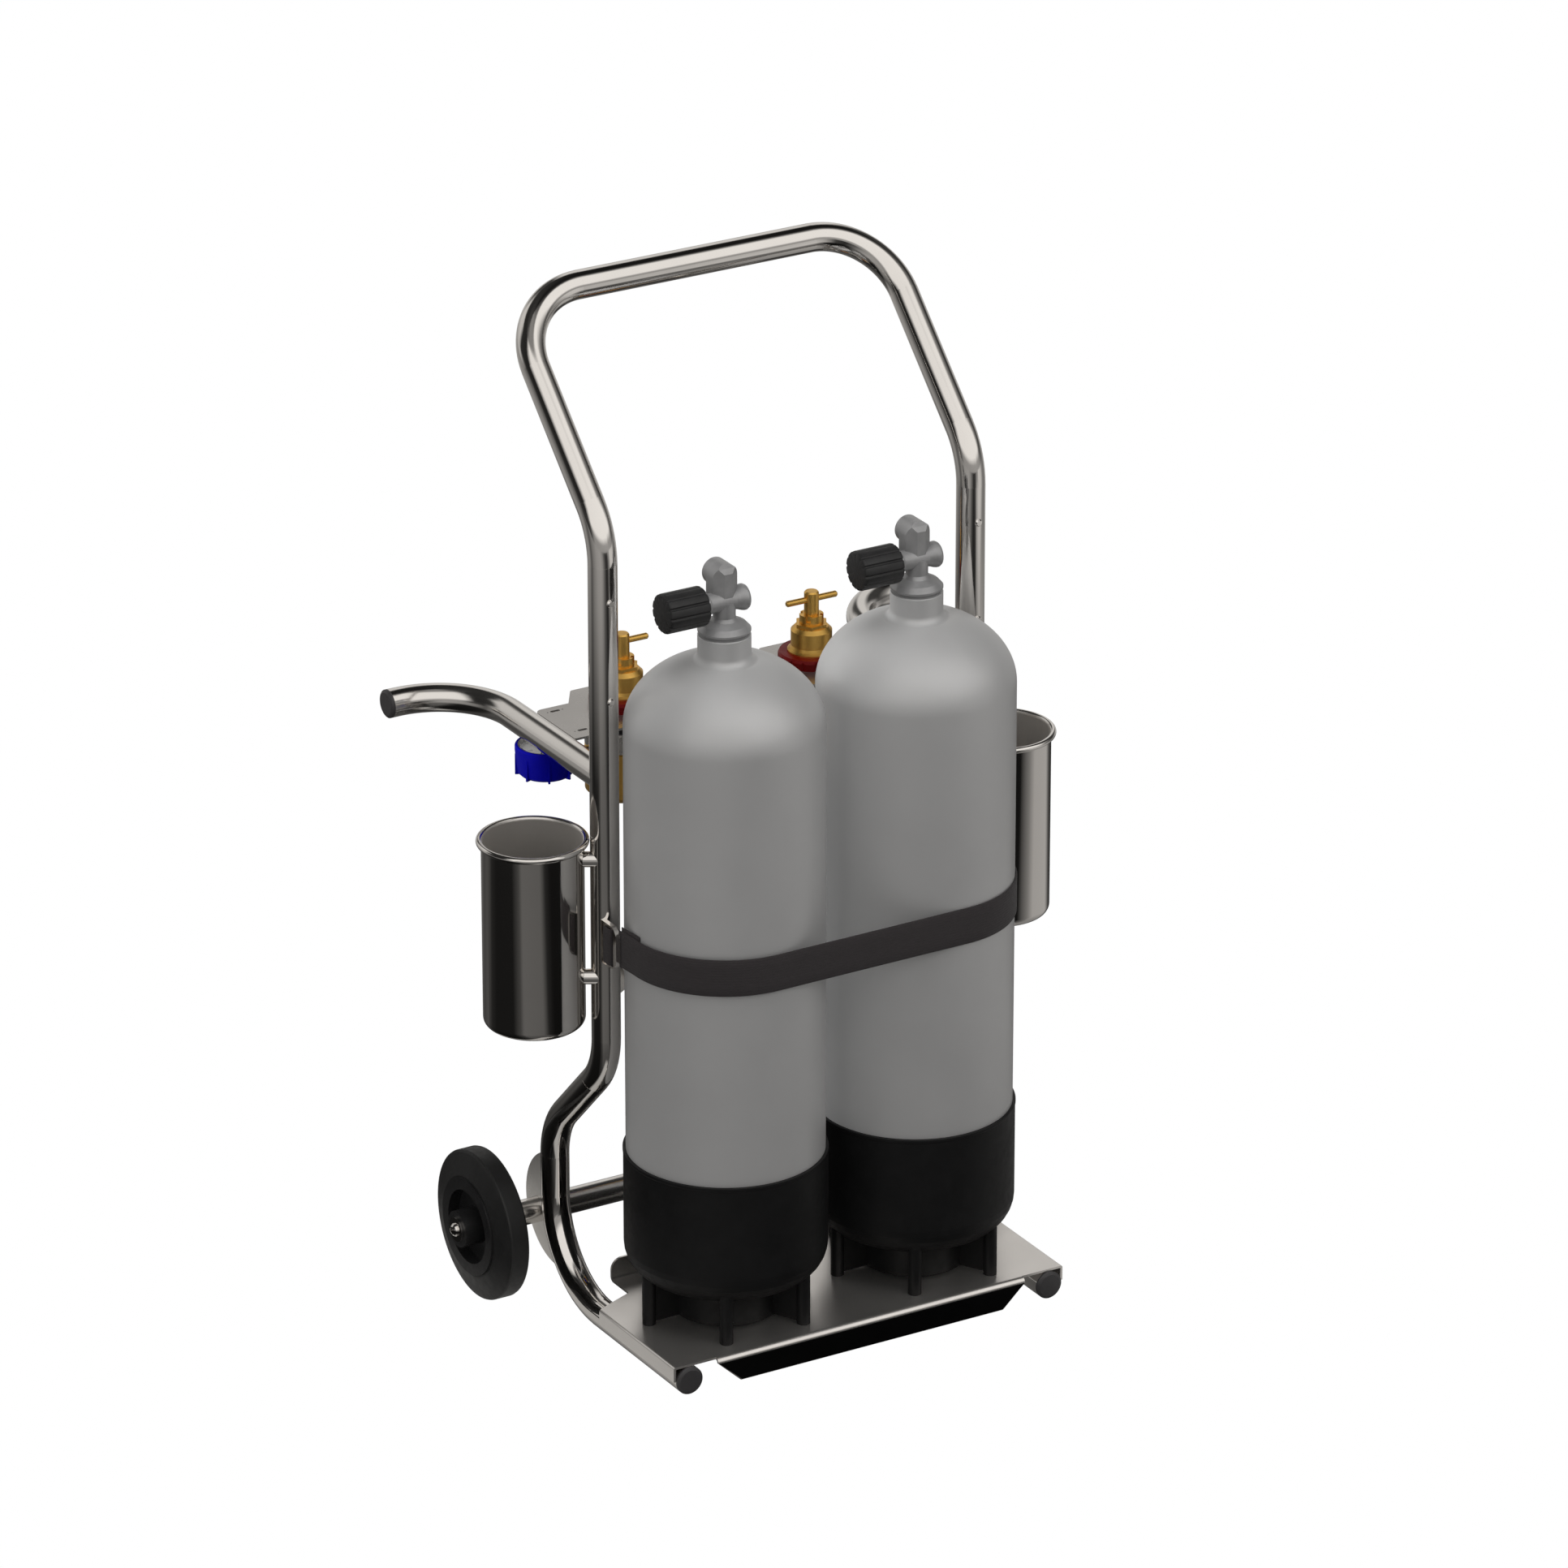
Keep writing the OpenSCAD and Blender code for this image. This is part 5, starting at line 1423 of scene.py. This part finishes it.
    def floor_bands(self, tree: NodeTree) -> Socket:
        """Mixes the painted reflection bands of the floor that mirrors see, with painted shadow
        near the object.

        Args:
            tree: The floor's node tree.

        Returns:
            Their colour.
        """
        place = tree.add("ShaderNodeTexCoord").outputs["Object"]
        split = tree.add("ShaderNodeSeparateXYZ")
        tree.link(place, split.inputs["Vector"])
        turn = self.turn(tree, split.outputs["X"], split.outputs["Y"])
        length = tree.add("ShaderNodeVectorMath")
        length.operation = "LENGTH"
        tree.link(place, length.inputs[0])
        distance = tree.math("MULTIPLY", length.outputs["Value"], 1.0 / self.floor_unit)
        near = tree.ramp(turn, grey_stops(self.floor_near))
        far = tree.ramp(turn, grey_stops(self.floor_far))
        blend = tree.ramp(distance, grey_stops(self.floor_blend))
        gain = tree.ramp(distance, grey_stops(self.floor_gain))
        # Painted shadow: the bands fade towards black near the object.
        lit = self.mixed(tree, gain, BLACK, self.mixed(tree, blend, near, far))
        across = tree.math("ABSOLUTE", split.outputs["X"])
        along = tree.math("ABSOLUTE", split.outputs["Y"])
        # Painted reflection: a plain glowing patch on either side of the object.
        beside = tree.math(
            "MULTIPLY",
            tree.ramp(across, grey_stops(self.beside_x)),
            tree.ramp(along, grey_stops(self.beside_y)),
        )
        return self.mixed(tree, beside, lit, self.beside_colour)

    @staticmethod
    def turn(tree: NodeTree, x: Socket, y: Socket) -> Socket:
        """Turn about Z: 0.5 to the front, 0.75 to the right, and the rear at both ends."""
        angle = tree.math("ARCTAN2", x, tree.math("MULTIPLY", y, -1.0))
        return tree.math("MULTIPLY_ADD", angle, 1.0 / math.tau, 0.5)

    def surroundings(self) -> None:
        """White for the camera, soft grey for dull surfaces, and softboxes for mirrors."""
        world = bpy.data.worlds.new("studio")
        world.use_nodes = True
        bpy.context.scene.world = world
        tree = NodeTree(world.node_tree)
        direction = tree.add("ShaderNodeTexCoord").outputs["Generated"]
        split = tree.add("ShaderNodeSeparateXYZ")
        tree.link(direction, split.inputs["Vector"])
        turn = self.turn(tree, split.outputs["X"], split.outputs["Y"])
        height = tree.math("MULTIPLY_ADD", split.outputs["Z"], 0.5, 0.5)
        bands = tree.ramp(turn, grey_stops(self.horizon))
        for low, high, wall in self.walls:
            share = tree.ramp(height, grey_stops(((low, 0.0), (high, 1.0))))
            bands = self.mixed(tree, share, bands, tree.ramp(turn, grey_stops(wall)))
        soft = tree.ramp(height, grey_stops(self.soft))
        path = tree.add("ShaderNodeLightPath")
        lit = self.mixed(tree, path.outputs["Is Diffuse Ray"], bands, soft)
        seen = self.mixed(tree, path.outputs["Is Camera Ray"], lit, WHITE)
        tree.link(seen, tree.find("ShaderNodeBackground").inputs["Color"])

    @staticmethod
    def mixed(
        tree: NodeTree, share: Socket, first: "Socket | Colour", second: "Socket | Colour"
    ) -> Socket:
        """Blends two colours.

        Args:
            tree: The node tree.
            share: Share of the second colour.
            first: The first colour.
            second: The second colour.

        Returns:
            The blend.
        """
        node = tree.add("ShaderNodeMix")
        node.data_type = "RGBA"
        tree.link(share, node.inputs["Factor"])
        for value, slot in zip((first, second), MIX_COLOURS):
            if isinstance(value, tuple):
                node.inputs[slot].default_value = (*value, 1.0)
            else:
                tree.link(value, node.inputs[slot])
        return node.outputs[MIX_RESULT]


def grey_stops(bands: Bands) -> list[tuple[float, Colour]]:
    """Turns bands into stops of a ramp, in slightly warm greys.

    Args:
        bands: Pairs of a place and a grey.

    Returns:
        Pairs of the place and its colour. Black and full white stay neutral.
    """
    stops = []
    for place, grey in bands:
        tint = WARM if 0.0 < grey < 1.0 else WHITE
        stops.append((place, tuple(grey * part for part in tint)))
    return stops


def main() -> None:
    """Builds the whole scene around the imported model."""
    logging.basicConfig(level=logging.INFO)
    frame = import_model()
    finishes = Finishes(frame["nodes"])
    PhotoCamera().build()
    parts: list[Part] = [TubeFrame(), RegulatorPanel(), Strap()]
    for side in Side:
        parts += [Wheel(side), GasCylinder(side), DialMarks(side)]
    for part in parts:
        done = len(finishes.dressed)
        part.dress(finishes)
        for piece, finish in finishes.dressed[done:]:
            log.info("%s: %s in %s", type(part).__name__, piece, finish)
    Studio().build()


if __name__ == "__main__":
    main()
